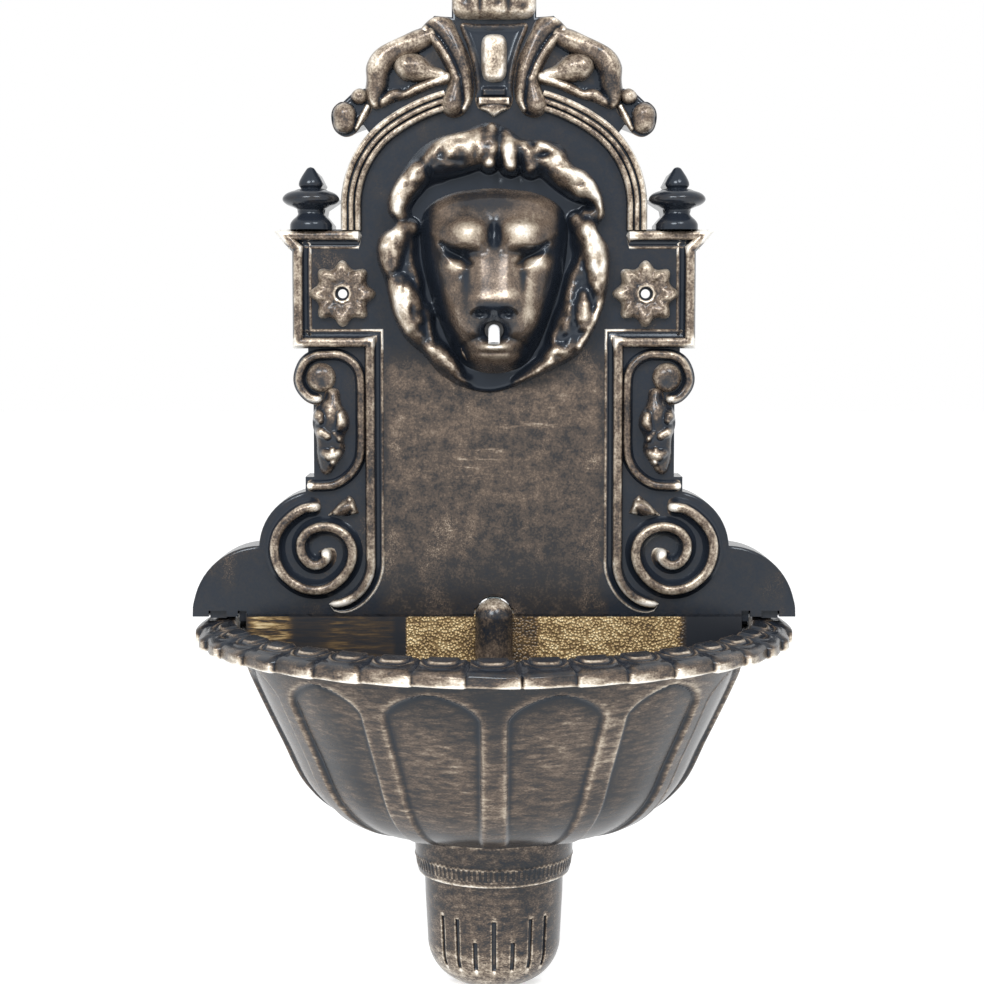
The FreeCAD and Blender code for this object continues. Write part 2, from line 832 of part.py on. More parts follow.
def make_cabochon():
    z = (cabochon_top + cabochon_bottom) / 2
    gem = dome(0.0, z, cabochon_half, (cabochon_top - cabochon_bottom) / 2, cabochon_height + shield_thick)
    return gem.common(box(-far, far, -far, face_y - shield_thick, -far, far))


def strap_path():
    return [Part.Arc(*[V(x, face_y, z) for x, z in strap_line]).toShape()]


def make_strap():
    """C-strap between the shield and the leaf, left side, ending in a round foot."""
    band = ridge(strap_path(), strap_half, strap_height)
    foot = dome(strap_foot_x, strap_foot_z, strap_foot_r, strap_foot_r, strap_height)
    return fuse([band, foot])


def make_crest_leaf():
    """Leaf with a hollow eye that the knob fills, clear of the strap and the arch band."""
    leaf = stepped_relief(leaf_edge, crest_leaf_height, 3.0)
    back, front = face_y + past, face_y - 3 * crest_leaf_height
    leaf = leaf.cut(rod_y(knob_x, knob_z, knob_rx + knob_moat, back, front))
    strap_top_x, strap_top_z = strap_line[0]
    keep_off = fuse([
        arch_slab(arch_band + seat_gap, box_bottom, back, front),
        ridge(strap_path(), strap_half + seat_gap, strap_height * 4),
        rod_y(strap_top_x, strap_top_z, strap_half + seat_gap, back, front),
        rod_y(strap_foot_x, strap_foot_z, strap_foot_r + seat_gap, back, front),
    ])
    return leaf.cut(keep_off)


def make_leaf_knob():
    return dome(knob_x, knob_z, knob_rx, knob_rz, knob_height)


def make_berries():
    return [dome(x, z, r, r, r) for x, z, r in ball_places()]


def face_height(x, z):
    """Height of the lion's face over the face plane at a place on it."""
    height = face_rim_height
    for cx, cz, sx, sz, rise in face_forms:
        for side in ((1,) if cx == 0 else (1, -1)):
            height += rise * math.exp(-((x - side * cx) / sx) ** 2 - ((z - cz) / sz) ** 2)
    return height


def mane_height_at(x, z):
    """Height of the mane: locks fanned round the face, fuller in their middles."""
    turn = math.atan2(z - mane_centre_z, x)
    locks = 0.5 + 0.5 * math.cos(mane_locks * turn + mane_twist * math.hypot(x, z))
    return mane_height + mane_fullness * locks


def relief_body(height_at, outline, sink=0.0):
    """Everything behind a height surface over an outline, sunk toward the wall by sink."""
    x0 = min(x for x, z in outline) - relief_step
    x1 = max(x for x, z in outline) + relief_step
    z0 = min(z for x, z in outline) - relief_step
    z1 = max(z for x, z in outline) + relief_step
    nx = int((x1 - x0) / relief_step) + 1
    nz = int((z1 - z0) / relief_step) + 1
    rows = []
    for i in range(nx):
        x = x0 + (x1 - x0) * i / (nx - 1)
        row = []
        for j in range(nz):
            z = z0 + (z1 - z0) * j / (nz - 1)
            row.append(V(x, face_y - height_at(x, z) + sink, z))
        rows.append(row)
    surface = Part.BSplineSurface()
    surface.interpolate(rows)
    return surface.toShape().extrude(V(0, far, 0))


def make_lion_face():
    """Hollow mask of the face with the mouth hole for the spout."""
    edge = mirrored_points(face_edge_right)
    outer = relief_body(face_height, edge)
    inner = relief_body(face_height, edge, mask_wall)
    solid = outer.common(smooth_prism(edge, face_y, face_y - far))
    hollow = inner.common(smooth_prism(shrink(edge, mask_wall), face_y + past, face_y - far))
    shell = solid.cut(hollow)
    return shell.cut(rod_y(0, mouth_z, mouth_hole_r, face_y + past, face_y - far))


def make_lion_mane():
    """Ring of locks round the face, clear of it and of the rosettes."""
    inner_edge = shrink(mirrored_points(face_edge_right), -seat_gap * 2)
    body = relief_body(mane_height_at, mane_edge)
    ring = body.common(smooth_prism(mane_edge, face_y, face_y - far))
    ring = ring.cut(smooth_prism(inner_edge, face_y + past, face_y - far))
    for side in (-1, 1):
        ring = ring.cut(rod_y(side * screw_x, 0, rosette_r + seat_gap, face_y + past, face_y - far))
    return ring


def bowl_points(inset):
    """The bowl's half-section drawn in by inset, square to its line and level with its top."""
    moved = []
    last = len(bowl_curve) - 1
    for k, (r, z) in enumerate(bowl_curve):
        ar, az = bowl_curve[max(k - 1, 0)]
        br, bz = bowl_curve[min(k + 1, last)]
        run = math.hypot(br - ar, bz - az)
        if k == 0:
            moved.append((r - run / (az - bz) * inset, z))
        else:
            moved.append((r + (bz - az) / run * inset, z - (br - ar) / run * inset))
    return moved


def half_turn_solid(face):
    """Half a turn of a section about the wall's vertical axis, on the side away from the wall."""
    return face.revolve(V(0, 0, 0), V(0, 0, 1), -180)


def section(edges_points, spline_points):
    """Face in the XZ plane from straight corners followed by a smooth curve back to the start."""
    curve = Part.BSplineCurve()
    curve.interpolate(Points=[V(r, 0, z) for r, z in spline_points])
    corners = [V(r, 0, z) for r, z in edges_points]
    edges = [curve.toShape()]
    chain = [V(spline_points[-1][0], 0, spline_points[-1][1])] + corners
    chain.append(V(spline_points[0][0], 0, spline_points[0][1]))
    for a, b in zip(chain, chain[1:]):
        if (a - b).Length > 1e-6:
            edges.append(Part.LineSegment(a, b).toShape())
    return Part.Face(Part.Wire(edges))


def bowl_core(inset, top_z, low_z):
    """Solid half bowl inside the outer line drawn in by inset, from low_z up to top_z."""
    points = bowl_points(inset)
    r_top = points[0][0]
    outline = [(0.0, points[-1][1]), (0.0, top_z), (r_top, top_z)]
    body = half_turn_solid(section(outline, points))
    if low_z > points[-1][1]:
        body = body.cut(box(-far, far, -far, past, -far, low_z))
    return body


def petal_prism(angle):
    """Pointed-arch bar aimed out of the bowl at an angle from straight ahead."""
    half_pitch = math.radians(petal_pitch_deg / 2)
    top_half = bowl_shoulder_r * math.sin(half_pitch) - petal_rib / 2
    foot_half = bowl_bottom_r * math.sin(half_pitch) - petal_foot_rib / 2
    shoulder_z = petal_top_z - petal_shoulder_drop
    foot_z = bowl_bottom_z + petal_foot_rise
    right = [
        (0.0, petal_top_z), (top_half * 0.55, petal_top_z - petal_point_drop), (top_half, shoulder_z),
        (foot_half, foot_z), (0.0, foot_z),
    ]
    bar = prism(mirrored_points(right), -bowl_bottom_r / 2, -far)
    bar.rotate(V(0, 0, 0), V(0, 0, 1), angle)
    return bar


def petal_angles():
    return [(k - (petals - 1) / 2) * petal_pitch_deg for k in range(petals)]


def make_bowl():
    """Half-round bowl with sunk petals, a thick floor, a raised lip and a flange for the rim."""
    outer = bowl_core(0.0, rim_bottom_z, bowl_bottom_z)
    inner = bowl_core(bowl_wall, rim_bottom_z + past, floor_z)
    lip_outer = rod_z(0, 0, rim_bottom_z - flange_thick, rim_top_z - lip_drop, lip_r)
    flange = rod_z(0, 0, rim_bottom_z - flange_thick, rim_bottom_z, flange_r)
    front = box(-far, far, -far, 0, -far, 0)
    body = outer.fuse([lip_outer.common(front), flange.common(front)])
    mouth = rod_z(0, 0, rim_bottom_z - flange_thick - past, 0, lip_r - lip_wall).common(front)
    body = body.cut(mouth).cut(inner)
    core = bowl_core(petal_depth, rim_bottom_z, bowl_bottom_z)
    for angle in petal_angles():
        body = body.cut(petal_prism(angle).cut(core))
    return body.removeSplitter()


def rim_section(r_in, r_out, corner):
    """Rounded block section of the rim between two radii."""
    top, low = rim_top_z, rim_bottom_z
    c = corner
    k = c * (1 - math.sqrt(0.5))
    edges = [
        Part.LineSegment(V(r_in, 0, low), V(r_in, 0, top)).toShape(),
        Part.LineSegment(V(r_in, 0, top), V(r_out - c, 0, top)).toShape(),
        Part.Arc(V(r_out - c, 0, top), V(r_out - k, 0, top - k), V(r_out, 0, top - c)).toShape(),
        Part.LineSegment(V(r_out, 0, top - c), V(r_out, 0, low)).toShape(),
        Part.LineSegment(V(r_out, 0, low), V(r_in, 0, low)).toShape(),
    ]
    return Part.Face(Part.Wire(edges))


def make_rim():
    """Rope-like rim: a rounded half ring with lobes that stand out all round it."""
    ring = half_turn_solid(rim_section(rim_inner_r, rim_ring_r, rim_round))
    pitch = 180.0 / rim_lobes
    lobes = []
    for k in range(rim_lobes):
        start = -(k * pitch + lobe_gap_deg / 2)
        lobe = rim_section((rim_inner_r + rim_ring_r) / 2, rim_lobe_r, rim_round).copy()
        lobe.translate(V(0, 0, -lobe_drop))
        lobe.rotate(V(0, 0, 0), V(0, 0, 1), start)
        lobes.append(lobe.revolve(V(0, 0, 0), V(0, 0, 1), -(pitch - lobe_gap_deg)))
    below = box(-far, far, -far, past, -far, rim_bottom_z)
    return fuse([ring] + lobes).cut(below)


def make_back_wall():
    """Flat back of the basin with the deck that the panel stands on, notched for the hose."""
    room = bowl_core(bowl_wall + seat_gap, rim_bottom_z - flange_thick, floor_z)
    throat = rod_z(0, 0, rim_bottom_z - flange_thick - past, seam_z, lip_r - lip_wall - seat_gap)
    inside = room.fuse(throat)
    plate = inside.common(box(-far, far, face_y, face_y + back_wall_thick, floor_z, seam_z))
    deck_half = math.sqrt((lip_r - lip_wall - seat_gap) ** 2 - panel_depth ** 2)
    deck = box(-deck_half, deck_half, face_y, 0.0, seam_z - back_wall_thick, seam_z)
    body = plate.fuse(deck)
    top, deck_low = seam_z + past, seam_z - back_wall_thick - past
    back, hose_room = face_y + back_wall_thick + past, hose_back_y + hose_r + notch_clear
    notch = fuse([
        box(-cover_bore, cover_bore, face_y - past, back, hose_turn_z - notch_below_bend, top),
        box(-cover_bore, cover_bore, face_y - past, hose_room, deck_low, top),
    ])
    return body.cut(notch).removeSplitter()


def make_tabs():
    """Four hooking tabs that stand on the bowl's lip and on the rim, and reach into the panel's slots."""
    y0, y1 = tab_y()
    tabs = []
    for x0, x1, foot_z in tab_spans():
        tabs.append(box(x0, x1, y0, y1, foot_z, seam_z + tab_height))
    return tabs


def make_hose_cover():
    """Half-round channel with a domed top over the hose on the back wall."""
    y = face_y
    dome_z = cover_top_z - cover_r
    outer = fuse([rod_z(0, y, cover_bottom_z, dome_z, cover_r), Part.makeSphere(cover_r, V(0, y, dome_z))])
    inner = fuse([
        rod_z(0, y, cover_bottom_z - past, dome_z, cover_bore), Part.makeSphere(cover_bore, V(0, y, dome_z))])
    front = box(-far, far, -far, y, -far, far)
    return outer.cut(inner).common(front)


def make_collar():
    """Band round the top of the pendant with a row of dentils near its lower edge."""
    top, low = bowl_bottom_z, bowl_bottom_z - collar_height
    corners = [
        V(collar_top_r - collar_thick, 0, top), V(collar_top_r, 0, top),
        V(collar_top_r - collar_step, 0, low + collar_step_rise),
        V(collar_bottom_r, 0, low), V(collar_bottom_r - collar_thick, 0, low),
    ]
    band = half_turn_solid(Part.Face(Part.makePolygon(corners + corners[:1])))
    teeth = []
    half, tooth_z = dentil_width / 2, low + dentil_rise
    back = -(collar_bottom_r - collar_thick / 2)
    for k in range(dentil_count):
        tooth = box(-half, half, -collar_top_r - dentil_stand, back, tooth_z, tooth_z + dentil_height)
        tooth.rotate(V(0, 0, 0), V(0, 0, 1), -90.0 + 180.0 * (k + 0.5) / dentil_count)
        teeth.append(tooth)
    behind = box(-far, far, 0, far, -far, far)
    return fuse([band] + teeth).cut(behind)


def pendant_section(inset):
    """Half-section of the pendant, drawn in by inset except at its open top."""
    top_r = collar_bottom_r - collar_thick - seat_gap - inset
    low_r = top_r - pendant_taper
    low = pendant_bottom_z + inset
    bend = pendant_round - inset
    k = bend * (1 - math.sqrt(0.5))
    edges = [
        Part.LineSegment(V(0, 0, low), V(0, 0, bowl_bottom_z)).toShape(),
        Part.LineSegment(V(0, 0, bowl_bottom_z), V(top_r, 0, bowl_bottom_z)).toShape(),
        Part.LineSegment(V(top_r, 0, bowl_bottom_z), V(low_r, 0, low + bend)).toShape(),
        Part.Arc(V(low_r, 0, low + bend), V(low_r - k, 0, low + k), V(low_r - bend, 0, low)).toShape(),
        Part.LineSegment(V(low_r - bend, 0, low), V(0, 0, low)).toShape(),
    ]
    return Part.Face(Part.Wire(edges))


def make_pendant():
    """Hollow fluted drop, closed at the top so that it can be screwed to the bowl."""
    outer = half_turn_solid(pendant_section(0.0))
    inner = half_turn_solid(pendant_section(pendant_wall))
    lid = box(-far, far, -far, past, bowl_bottom_z - pendant_wall, bowl_bottom_z + past)
    shell = outer.cut(inner.cut(lid))
    half = flute_width / 2
    back = -(collar_bottom_r - collar_thick - pendant_taper) + flute_depth
    foot_z = pendant_bottom_z + flute_foot_rise
    for k in range(flute_count):
        length = short_flute if k in short_flutes else long_flute
        flute = box(-half, half, -collar_top_r, back, foot_z, foot_z + length)
        flute.rotate(V(0, 0, 0), V(0, 0, 1), flute_spread_deg * (k / (flute_count - 1) - 0.5))
        shell = shell.cut(flute)
    return shell


def tube(wire, r_out, r_in):
    """Round tube swept along a wire whose first edge is straight."""
    start = wire.OrderedEdges[0]
    point = start.valueAt(start.FirstParameter)
    tangent = start.tangentAt(start.FirstParameter)
    rings = [Part.Wire(Part.makeCircle(r, point, tangent)) for r in (r_out, r_in)]
    bodies = [wire.makePipeShell([ring], True, False) for ring in rings]
    return bodies[0].cut(bodies[1])


def rounded_path(points, radii):
    """Straight runs joined by tangent arcs; each inner point has its own bend radius."""
    edges = []
    start = points[0]
    for k in range(1, len(points) - 1):
        p, before, after = points[k], points[k - 1], points[k + 1]
        u = (before - p).normalize()
        w = (after - p).normalize()
        half = u.getAngle(w) / 2
        trim = radii[k - 1] / math.tan(half)
        a, b = p + u * trim, p + w * trim
        centre_dir = (u + w).normalize()
        middle = p + centre_dir * (radii[k - 1] / math.sin(half) - radii[k - 1])
        edges.append(Part.LineSegment(start, a).toShape())
        edges.append(Part.Arc(a, middle, b).toShape())
        start = b
    edges.append(Part.LineSegment(start, points[-1]).toShape())
    return Part.Wire(edges)


def hose_points():
    """Corner points of the hose: up from the pump, back through the notch, up and out to the mouth."""
    return [
        V(0, hose_front_y, hose_foot_z),
        V(0, hose_front_y, hose_turn_z),
        V(0, hose_back_y, hose_turn_z + hose_slant),
        V(0, hose_back_y, mouth_z),
        V(0, hose_end_y, mouth_z),
    ]


def mouth_face_y():
    """The mask's surface at the mouth."""
    return face_y - face_height(0.0, mouth_z)


def make_hose():
    path = rounded_path(hose_points(), [hose_slant_r, hose_slant_r, hose_bend_r])
    print("hose radii", hose_slant_r, hose_slant_r, hose_bend_r, "length", round(path.Length, 1))
    return tube(path, hose_r, hose_bore / 2)


def spout_bend():
    """Where the spout bends, its bend radius and its droop in radians."""
    return mouth_face_y() - spout_stand, hose_bore * 0.8, math.radians(spout_droop_deg)


def make_spout():
    """Stiff white tube pushed into the hose, bent down where it leaves the mouth."""
    bend_y, bend_r, droop = spout_bend()
    start = V(0, hose_end_y + spout_grip, mouth_z)
    bend = V(0, bend_y, mouth_z)
    reach = V(0, -math.cos(droop), -math.sin(droop)) * spout_reach
    path = rounded_path([start, bend, bend + reach], [bend_r])
    return tube(path, spout_r, spout_r - spout_wall)


def make_grommet():
    """Rubber sleeve that holds the spout in the mouth hole, set back from the lips."""
    bend_y, bend_r, droop = spout_bend()
    y1 = bend_y + bend_r * math.tan(droop / 2) + seat_gap
    y0 = y1 + grommet_length
    sleeve = rod_y(0, mouth_z, mouth_hole_r - running_gap, y0, y1)
    return sleeve.cut(rod_y(0, mouth_z, spout_r + running_gap, y0 + past, y1 - past))


def make_clamps():
    """Hose clamps at the pump and at the spout."""
    r = hose_r + running_gap
    lug_x, half = r + lug_reach, lug_width / 2
    z0 = hose_foot_z + clamp_from_foot
    z1 = z0 + clamp_width
    y = hose_front_y
    ring = rod_z(0, y, z0, z1, r + clamp_wall)
    lug = box(r, lug_x, y - half, y + half, z0 + lug_inset, z1 - lug_inset)
    low = ring.fuse(lug).cut(rod_z(0, y, z0 - past, z1 + past, r))
    y1 = hose_end_y + clamp_from_end
    y0 = y1 + clamp_width
    ring = rod_y(0, mouth_z, r + clamp_wall, y0, y1)
    lug = box(r, lug_x, y1 + lug_inset, y0 - lug_inset, mouth_z - half, mouth_z + half)
    high = ring.fuse(lug).cut(rod_y(0, mouth_z, r, y0 + past, y1 - past))
    return [low, high]


def make_clips():
    """Two saddle clips that hold the hose to the back of the panel's face sheet."""
    clips = []
    sheet_y = face_y + panel_wall
    bore_r = hose_r + running_gap
    for z in clip_heights:
        z0, z1 = z - clip_width / 2, z + clip_width / 2
        ring = rod_z(0, hose_back_y, z0, z1, bore_r + clip_wall)
        foot = box(-clip_foot_half, clip_foot_half, sheet_y, sheet_y + clip_wall, z0, z1)
        post = box(-clip_post_half, clip_post_half, sheet_y, hose_back_y, z0, z1)
        clips.append(ring.fuse([foot, post]).cut(rod_z(0, hose_back_y, z0 - past, z1 + past, bore_r)))
    return clips


def shaft_rod(x0, x1, r):
    """Round bar on the pump's shaft line."""
    return rod_x(x0, x1, shaft_y, shaft_z, r)


def make_pump_body():
    """Motor block with the rotor well, the impeller chamber and the outlet nozzle."""
    block = box(-chamber_x, motor_x, pump_front_y, pump_back_y, pump_bottom_z, pump_top_z)
    nozzle_top = pump_top_z + nozzle_height
    body = block.fuse(rod_z(0, hose_front_y, pump_top_z, nozzle_top, spout_r))
    body = body.cut(shaft_rod(-chamber_x - past, chamber_x, chamber_r))
    body = body.cut(shaft_rod(chamber_x - past, bush_x, well_r))
    body = body.cut(shaft_rod(rotor_x, bush_x + bush_length, bush_r + running_gap))
    body = body.cut(rod_z(0, hose_front_y, shaft_z, nozzle_top + past, nozzle_bore_r))
    body = body.cut(fuse([core_space(running_gap), coil_space(running_gap)]))
    gland_hole_r = gland_plug_r + running_gap
    gland_hole = rod_x(motor_x - gland_plug_depth, motor_x + past, shaft_y, gland_z, gland_hole_r)
    return body.cut(gland_hole).removeSplitter()


def core_space(grow):
    """U-shaped laminated core: a bar under the rotor well and a leg on each side of it."""
    reach = well_r + core_gap + core_leg
    low = pump_bottom_z + core_rise
    x0, x1 = core_x0 - grow, core_x1 + grow
    y0, y1 = shaft_y - reach, shaft_y + reach
    top = shaft_z + rotor_r + grow
    return fuse([
        box(x0, x1, y0 - grow, y1 + grow, low - grow, low + core_bar + grow),
        box(x0, x1, y0 - grow, y0 + core_leg + grow, low, top),
        box(x0, x1, y1 - core_leg - grow, y1 + grow, low, top),
    ])


def coil_space(grow):
    """Block of the winding round the core's bar."""
    half = well_r + coil_margin + grow
    over = coil_overhang + grow
    low = pump_bottom_z + coil_rise - grow
    high = shaft_z - well_r - coil_gap + grow
    return box(core_x0 - over, core_x1 + over, shaft_y - half, shaft_y + half, low, high)


def window(x0, x1, y, z):
    """Square bar along X that cuts one inlet window."""
    return box(x0, x1, y - window_half, y + window_half, z - window_half, z + window_half)


def make_pump_cover():
    """Intake cover: a cup over the chamber with an eye for the water and inlet windows."""
    x0, x1, w = intake_x, -chamber_x, pump_wall
    cup = box(x0, x1, pump_front_y, pump_back_y, pump_bottom_z, pump_top_z)
    room = box(x0 + w, x1 - w, pump_front_y + w, pump_back_y - w, pump_bottom_z + w, pump_top_z - w)
    body = cup.cut(room)
    eye_r = bush_r + eye_ring
    body = body.cut(shaft_rod(x1 - w - past, x1 + past, eye_r))
    half, reach = spoke_width / 2, eye_r + past
    spokes = box(x1 - w, x1, shaft_y - half, shaft_y + half, shaft_z - reach, shaft_z + reach)
    hub = shaft_rod(x1 - w, x1, bush_r + hub_wall)
    body = body.fuse([spokes, hub]).cut(shaft_rod(x1 - w - past, x1 + past, bush_r + running_gap))
    for side in (-1, 1):
        body = body.cut(window(x0 - past, x0 + w + past, shaft_y, shaft_z + side * window_offset))
    slit_x0 = (x0 + x1 - slit_length) / 2
    slit_front, slit_back = pump_front_y - past, pump_front_y + w + past
    slits = int((pump_height - 2 * slit_margin) / slit_pitch)
    for k in range(slits):
        z = pump_bottom_z + slit_margin + k * slit_pitch
        body = body.cut(box(slit_x0, slit_x0 + slit_length, slit_front, slit_back, z, z + slit_width))
    return body.cut(shaft_rod(x0 - past, x0 + w + past, dial_pin_r - running_gap)).removeSplitter()


def make_flow_dial():
    """Turning shutter on the end of the intake cover with two windows, a lever and its pin."""
    x1 = intake_x - running_gap
    x0 = x1 - dial_thick
    half = lever_width / 2
    disc = shaft_rod(x0, x1, dial_r)
    lever = box(x0, x1, shaft_y - half, shaft_y + half, shaft_z, shaft_z + dial_r + lever_reach)
    pin = shaft_rod(x1 - dial_thick / 4, intake_x + pump_wall + dial_pin_tip, dial_pin_r - 2 * running_gap)
    body = disc.fuse([lever, pin])
    for side in (-1, 1):
        body = body.cut(window(x0 - past, x1 + running_gap, shaft_y + side * window_offset, shaft_z))
    return body.removeSplitter()


def make_impeller():
    """Hub and vanes in the chamber, with the tube that carries the magnet."""
    x0 = -chamber_x + impeller_front_gap
    x1 = x0 + impeller_width
    half, overlap = vane_thick / 2, vane_thick / 2
    disc = shaft_rod(x1, x1 + impeller_disc, impeller_r)
    sleeve = shaft_rod(x0, rotor_x + shaft_end_gap, impeller_hub_r)
    body = disc.fuse(sleeve)
    for k in range(impeller_vanes):
        vane = box(x0, x1 + overlap, shaft_y - half, shaft_y + half, shaft_z + impeller_hub_r - overlap,
                   shaft_z + impeller_r)
        vane.rotate(V(0, shaft_y, shaft_z), V(1, 0, 0), 360.0 * k / impeller_vanes)
        body = body.fuse(vane)
    return body.cut(shaft_rod(x0 - past, far, shaft_r + running_gap)).removeSplitter()


def make_rotor_magnet():
    x0 = chamber_x + rotor_front_gap
    return shaft_rod(x0, rotor_x, rotor_r).cut(shaft_rod(x0 - past, far, impeller_hub_r))


def make_shaft():
    return shaft_rod(-chamber_x - pump_wall, bush_x + bush_length - shaft_end_gap, shaft_r)


def make_bushes():
    """Rubber bushes that hold the ends of the fixed shaft."""
    bushes = []
    for x0, x1 in ((-chamber_x - pump_wall, -chamber_x), (bush_x, bush_x + bush_length)):
        bushes.append(shaft_rod(x0, x1, bush_r).cut(shaft_rod(x0 - past, x1 + past, shaft_r + running_gap)))
    return bushes


def make_gland():
    """Sealed cord inlet on the end of the motor block."""
    flange_x = motor_x + gland_flange
    end = motor_x + gland_length
    plug = rod_x(motor_x - gland_plug_depth, motor_x, shaft_y, gland_z, gland_plug_r)
    flange = rod_x(motor_x, flange_x, shaft_y, gland_z, gland_r)
    nose_foot = V(flange_x, shaft_y, gland_z)
    nose = Part.makeCone(gland_r - past, gland_nose_r, end - flange_x, nose_foot, V(1, 0, 0))
    bore = rod_x(motor_x - gland_plug_depth / 2, end + past, shaft_y, gland_z, cord_bore_r)
    return plug.fuse([flange, nose]).cut(bore).removeSplitter()


def make_cups():
    """Four suction cups between the pump and the basin floor."""
    cups = []
    inset = cup_r + cup_inset
    for x in (inset - chamber_x, motor_x - inset):
        for y in (pump_front_y + inset, pump_back_y - inset):
            cups.append(Part.makeCone(cup_r, cup_top_r, cup_height, V(x, y, floor_z), V(0, 0, 1)))
    return cups


def main():
    os.makedirs("parts", exist_ok=True)
    save("back_panel", make_back_panel())
    save_pair("arch_moulding", make_arch_moulding())
    save_pair("side_frame", make_side_frame())
    save_pair("volute", make_volute())
    save_pair("upper_scroll", make_upper_scroll())
    save_pair("scroll_eye", make_scroll_eye())
    save_pair("husk", make_husk())
    save_pair("small_leaf", make_small_leaf())
    save_pair("rosette", make_rosette())
    save_pair("finial", make_finial())
    save("crest_cap", make_crest_cap())
    save("crest_shield", make_shield())
    save("cabochon", make_cabochon())
    save_pair("crest_strap", make_strap())
    save_pair("crest_leaf", make_crest_leaf())
    save_pair("leaf_knob", make_leaf_knob())
    berries = make_berries()
    save("berries_left", *berries)
    save("berries_right", *[mirror(berry) for berry in berries])
    save("lion_face", make_lion_face())
    save("lion_mane", make_lion_mane())
    save("basin_bowl", make_bowl())
    save("basin_rim", make_rim())
    save("basin_back_wall", make_back_wall())
    tabs = make_tabs()
    save("hook_tabs", *(tabs + [mirror(tab) for tab in tabs]))
    save("hose_cover", make_hose_cover())
    save("pendant_collar", make_collar())
    save("pendant", make_pendant())
    save("riser_hose", make_hose())
    save("spout_tube", make_spout())
    save("mouth_grommet", make_grommet())
    save("hose_clamps", *make_clamps())
    save("hose_clips", *make_clips())
    save("pump_body", make_pump_body())
    save("pump_cover", make_pump_cover())
    save("flow_dial", make_flow_dial())
    save("impeller", make_impeller())
    save("rotor_magnet", make_rotor_magnet())
    save("rotor_shaft", make_shaft())
    save("shaft_bushes", *make_bushes())
    save("stator_core", core_space(0.0))
    save("stator_coil", coil_space(0.0).cut(core_space(0.0)))
    save("cord_gland", make_gland())
    save("suction_cups", *make_cups())


main()
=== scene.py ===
import bmesh
import bpy
import json
import math
import numpy as np
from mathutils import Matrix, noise


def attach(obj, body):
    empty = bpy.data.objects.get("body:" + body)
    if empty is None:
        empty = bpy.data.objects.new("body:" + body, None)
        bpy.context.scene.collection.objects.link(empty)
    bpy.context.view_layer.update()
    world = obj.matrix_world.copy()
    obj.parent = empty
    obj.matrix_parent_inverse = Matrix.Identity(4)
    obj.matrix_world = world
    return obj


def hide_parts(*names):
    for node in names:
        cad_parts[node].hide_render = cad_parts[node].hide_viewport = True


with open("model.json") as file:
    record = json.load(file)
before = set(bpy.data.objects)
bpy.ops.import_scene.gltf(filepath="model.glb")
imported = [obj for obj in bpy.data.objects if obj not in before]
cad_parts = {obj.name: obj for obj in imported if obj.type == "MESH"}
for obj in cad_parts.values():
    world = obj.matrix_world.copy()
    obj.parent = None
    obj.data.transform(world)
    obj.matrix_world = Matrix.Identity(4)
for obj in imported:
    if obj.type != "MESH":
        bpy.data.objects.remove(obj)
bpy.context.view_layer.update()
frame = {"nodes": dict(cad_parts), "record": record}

# Camera at the photograph's place: metres, degrees, and millimetres for the lens and its sensor
cameraPlace = {
    "x": -0.0014, "y": -1.43, "z": -0.018, "downward": 4.92, "lens": 73.17, "sensor": 36, "near": 0.05,
}
cameraData = bpy.data.cameras.new("photoCamera")
cameraData.lens = cameraPlace["lens"]
cameraData.sensor_width = cameraPlace["sensor"]
cameraData.clip_start = cameraPlace["near"]
camera = bpy.data.objects.new("photoCamera", cameraData)
camera.location = (cameraPlace["x"], cameraPlace["y"], cameraPlace["z"])
camera.rotation_euler = (math.radians(90 - cameraPlace["downward"]), 0, 0)
bpy.context.scene.collection.objects.link(camera)
bpy.context.scene.camera = camera
print("camera set")

# Every piece is worked out in millimetres. The panel's face stands at faceY, and the panel meets the
# basin at seamZ; the screw holes are screwX from the middle, at z 0
faceY = -36.0
seamZ = -224.0
screwX = 105
sunk = 0.4  # how far a raised form reaches into the panel's face


def linearColour(red, green, blue):
    parts = [c / 255 for c in (red, green, blue)]
    return tuple(c / 12.92 if c <= 0.04045 else ((c + 0.055) / 1.055) ** 2.4 for c in parts) + (1.0,)


def addNode(tree, kind, inputs=None, **settings):
    node = tree.nodes.new(kind)
    for key, value in settings.items():
        setattr(node, key, value)
    for key, value in (inputs or {}).items():
        if isinstance(value, bpy.types.NodeSocket):
            tree.links.new(value, node.inputs[key])
        else:
            node.inputs[key].default_value = value
    return node


def doMath(tree, operation, first, second=0.0, third=0.0, clamp=False):
    inputs = {0: first, 1: second, 2: third}
    return addNode(tree, "ShaderNodeMath", inputs, operation=operation, use_clamp=clamp).outputs[0]


# Stops are a place from 0 to 1 and a linear colour
def rampStops(tree, factor, stops):
    node = addNode(tree, "ShaderNodeValToRGB", {0: factor})
    ramp = node.color_ramp
    while len(ramp.elements) < len(stops):
        ramp.elements.new(0.5)
    for element, (place, colour) in zip(ramp.elements, stops):
        element.position = place
        element.color = colour
    return node.outputs[0]


def rampColours(tree, factor, stops):
    return rampStops(tree, factor, [(place, linearColour(*colour)) for place, colour in stops])


def rampNumbers(tree, factor, low, high, outLow, outHigh):
    node = addNode(
        tree, "ShaderNodeMapRange", {0: factor, 1: low, 2: high, 3: outLow, 4: outHigh},
        interpolation_type="SMOOTHSTEP")
    return node.outputs[0]


def noiseAt(tree, place, scale, stretch, detail, roughness, turn=(0, 0, 0)):
    mapped = addNode(tree, "ShaderNodeMapping", {"Vector": place, "Scale": stretch, "Rotation": turn})
    node = addNode(
        tree, "ShaderNodeTexNoise",
        {"Vector": mapped.outputs[0], "Scale": scale, "Detail": detail, "Roughness": roughness})
    return node.outputs["Fac"]


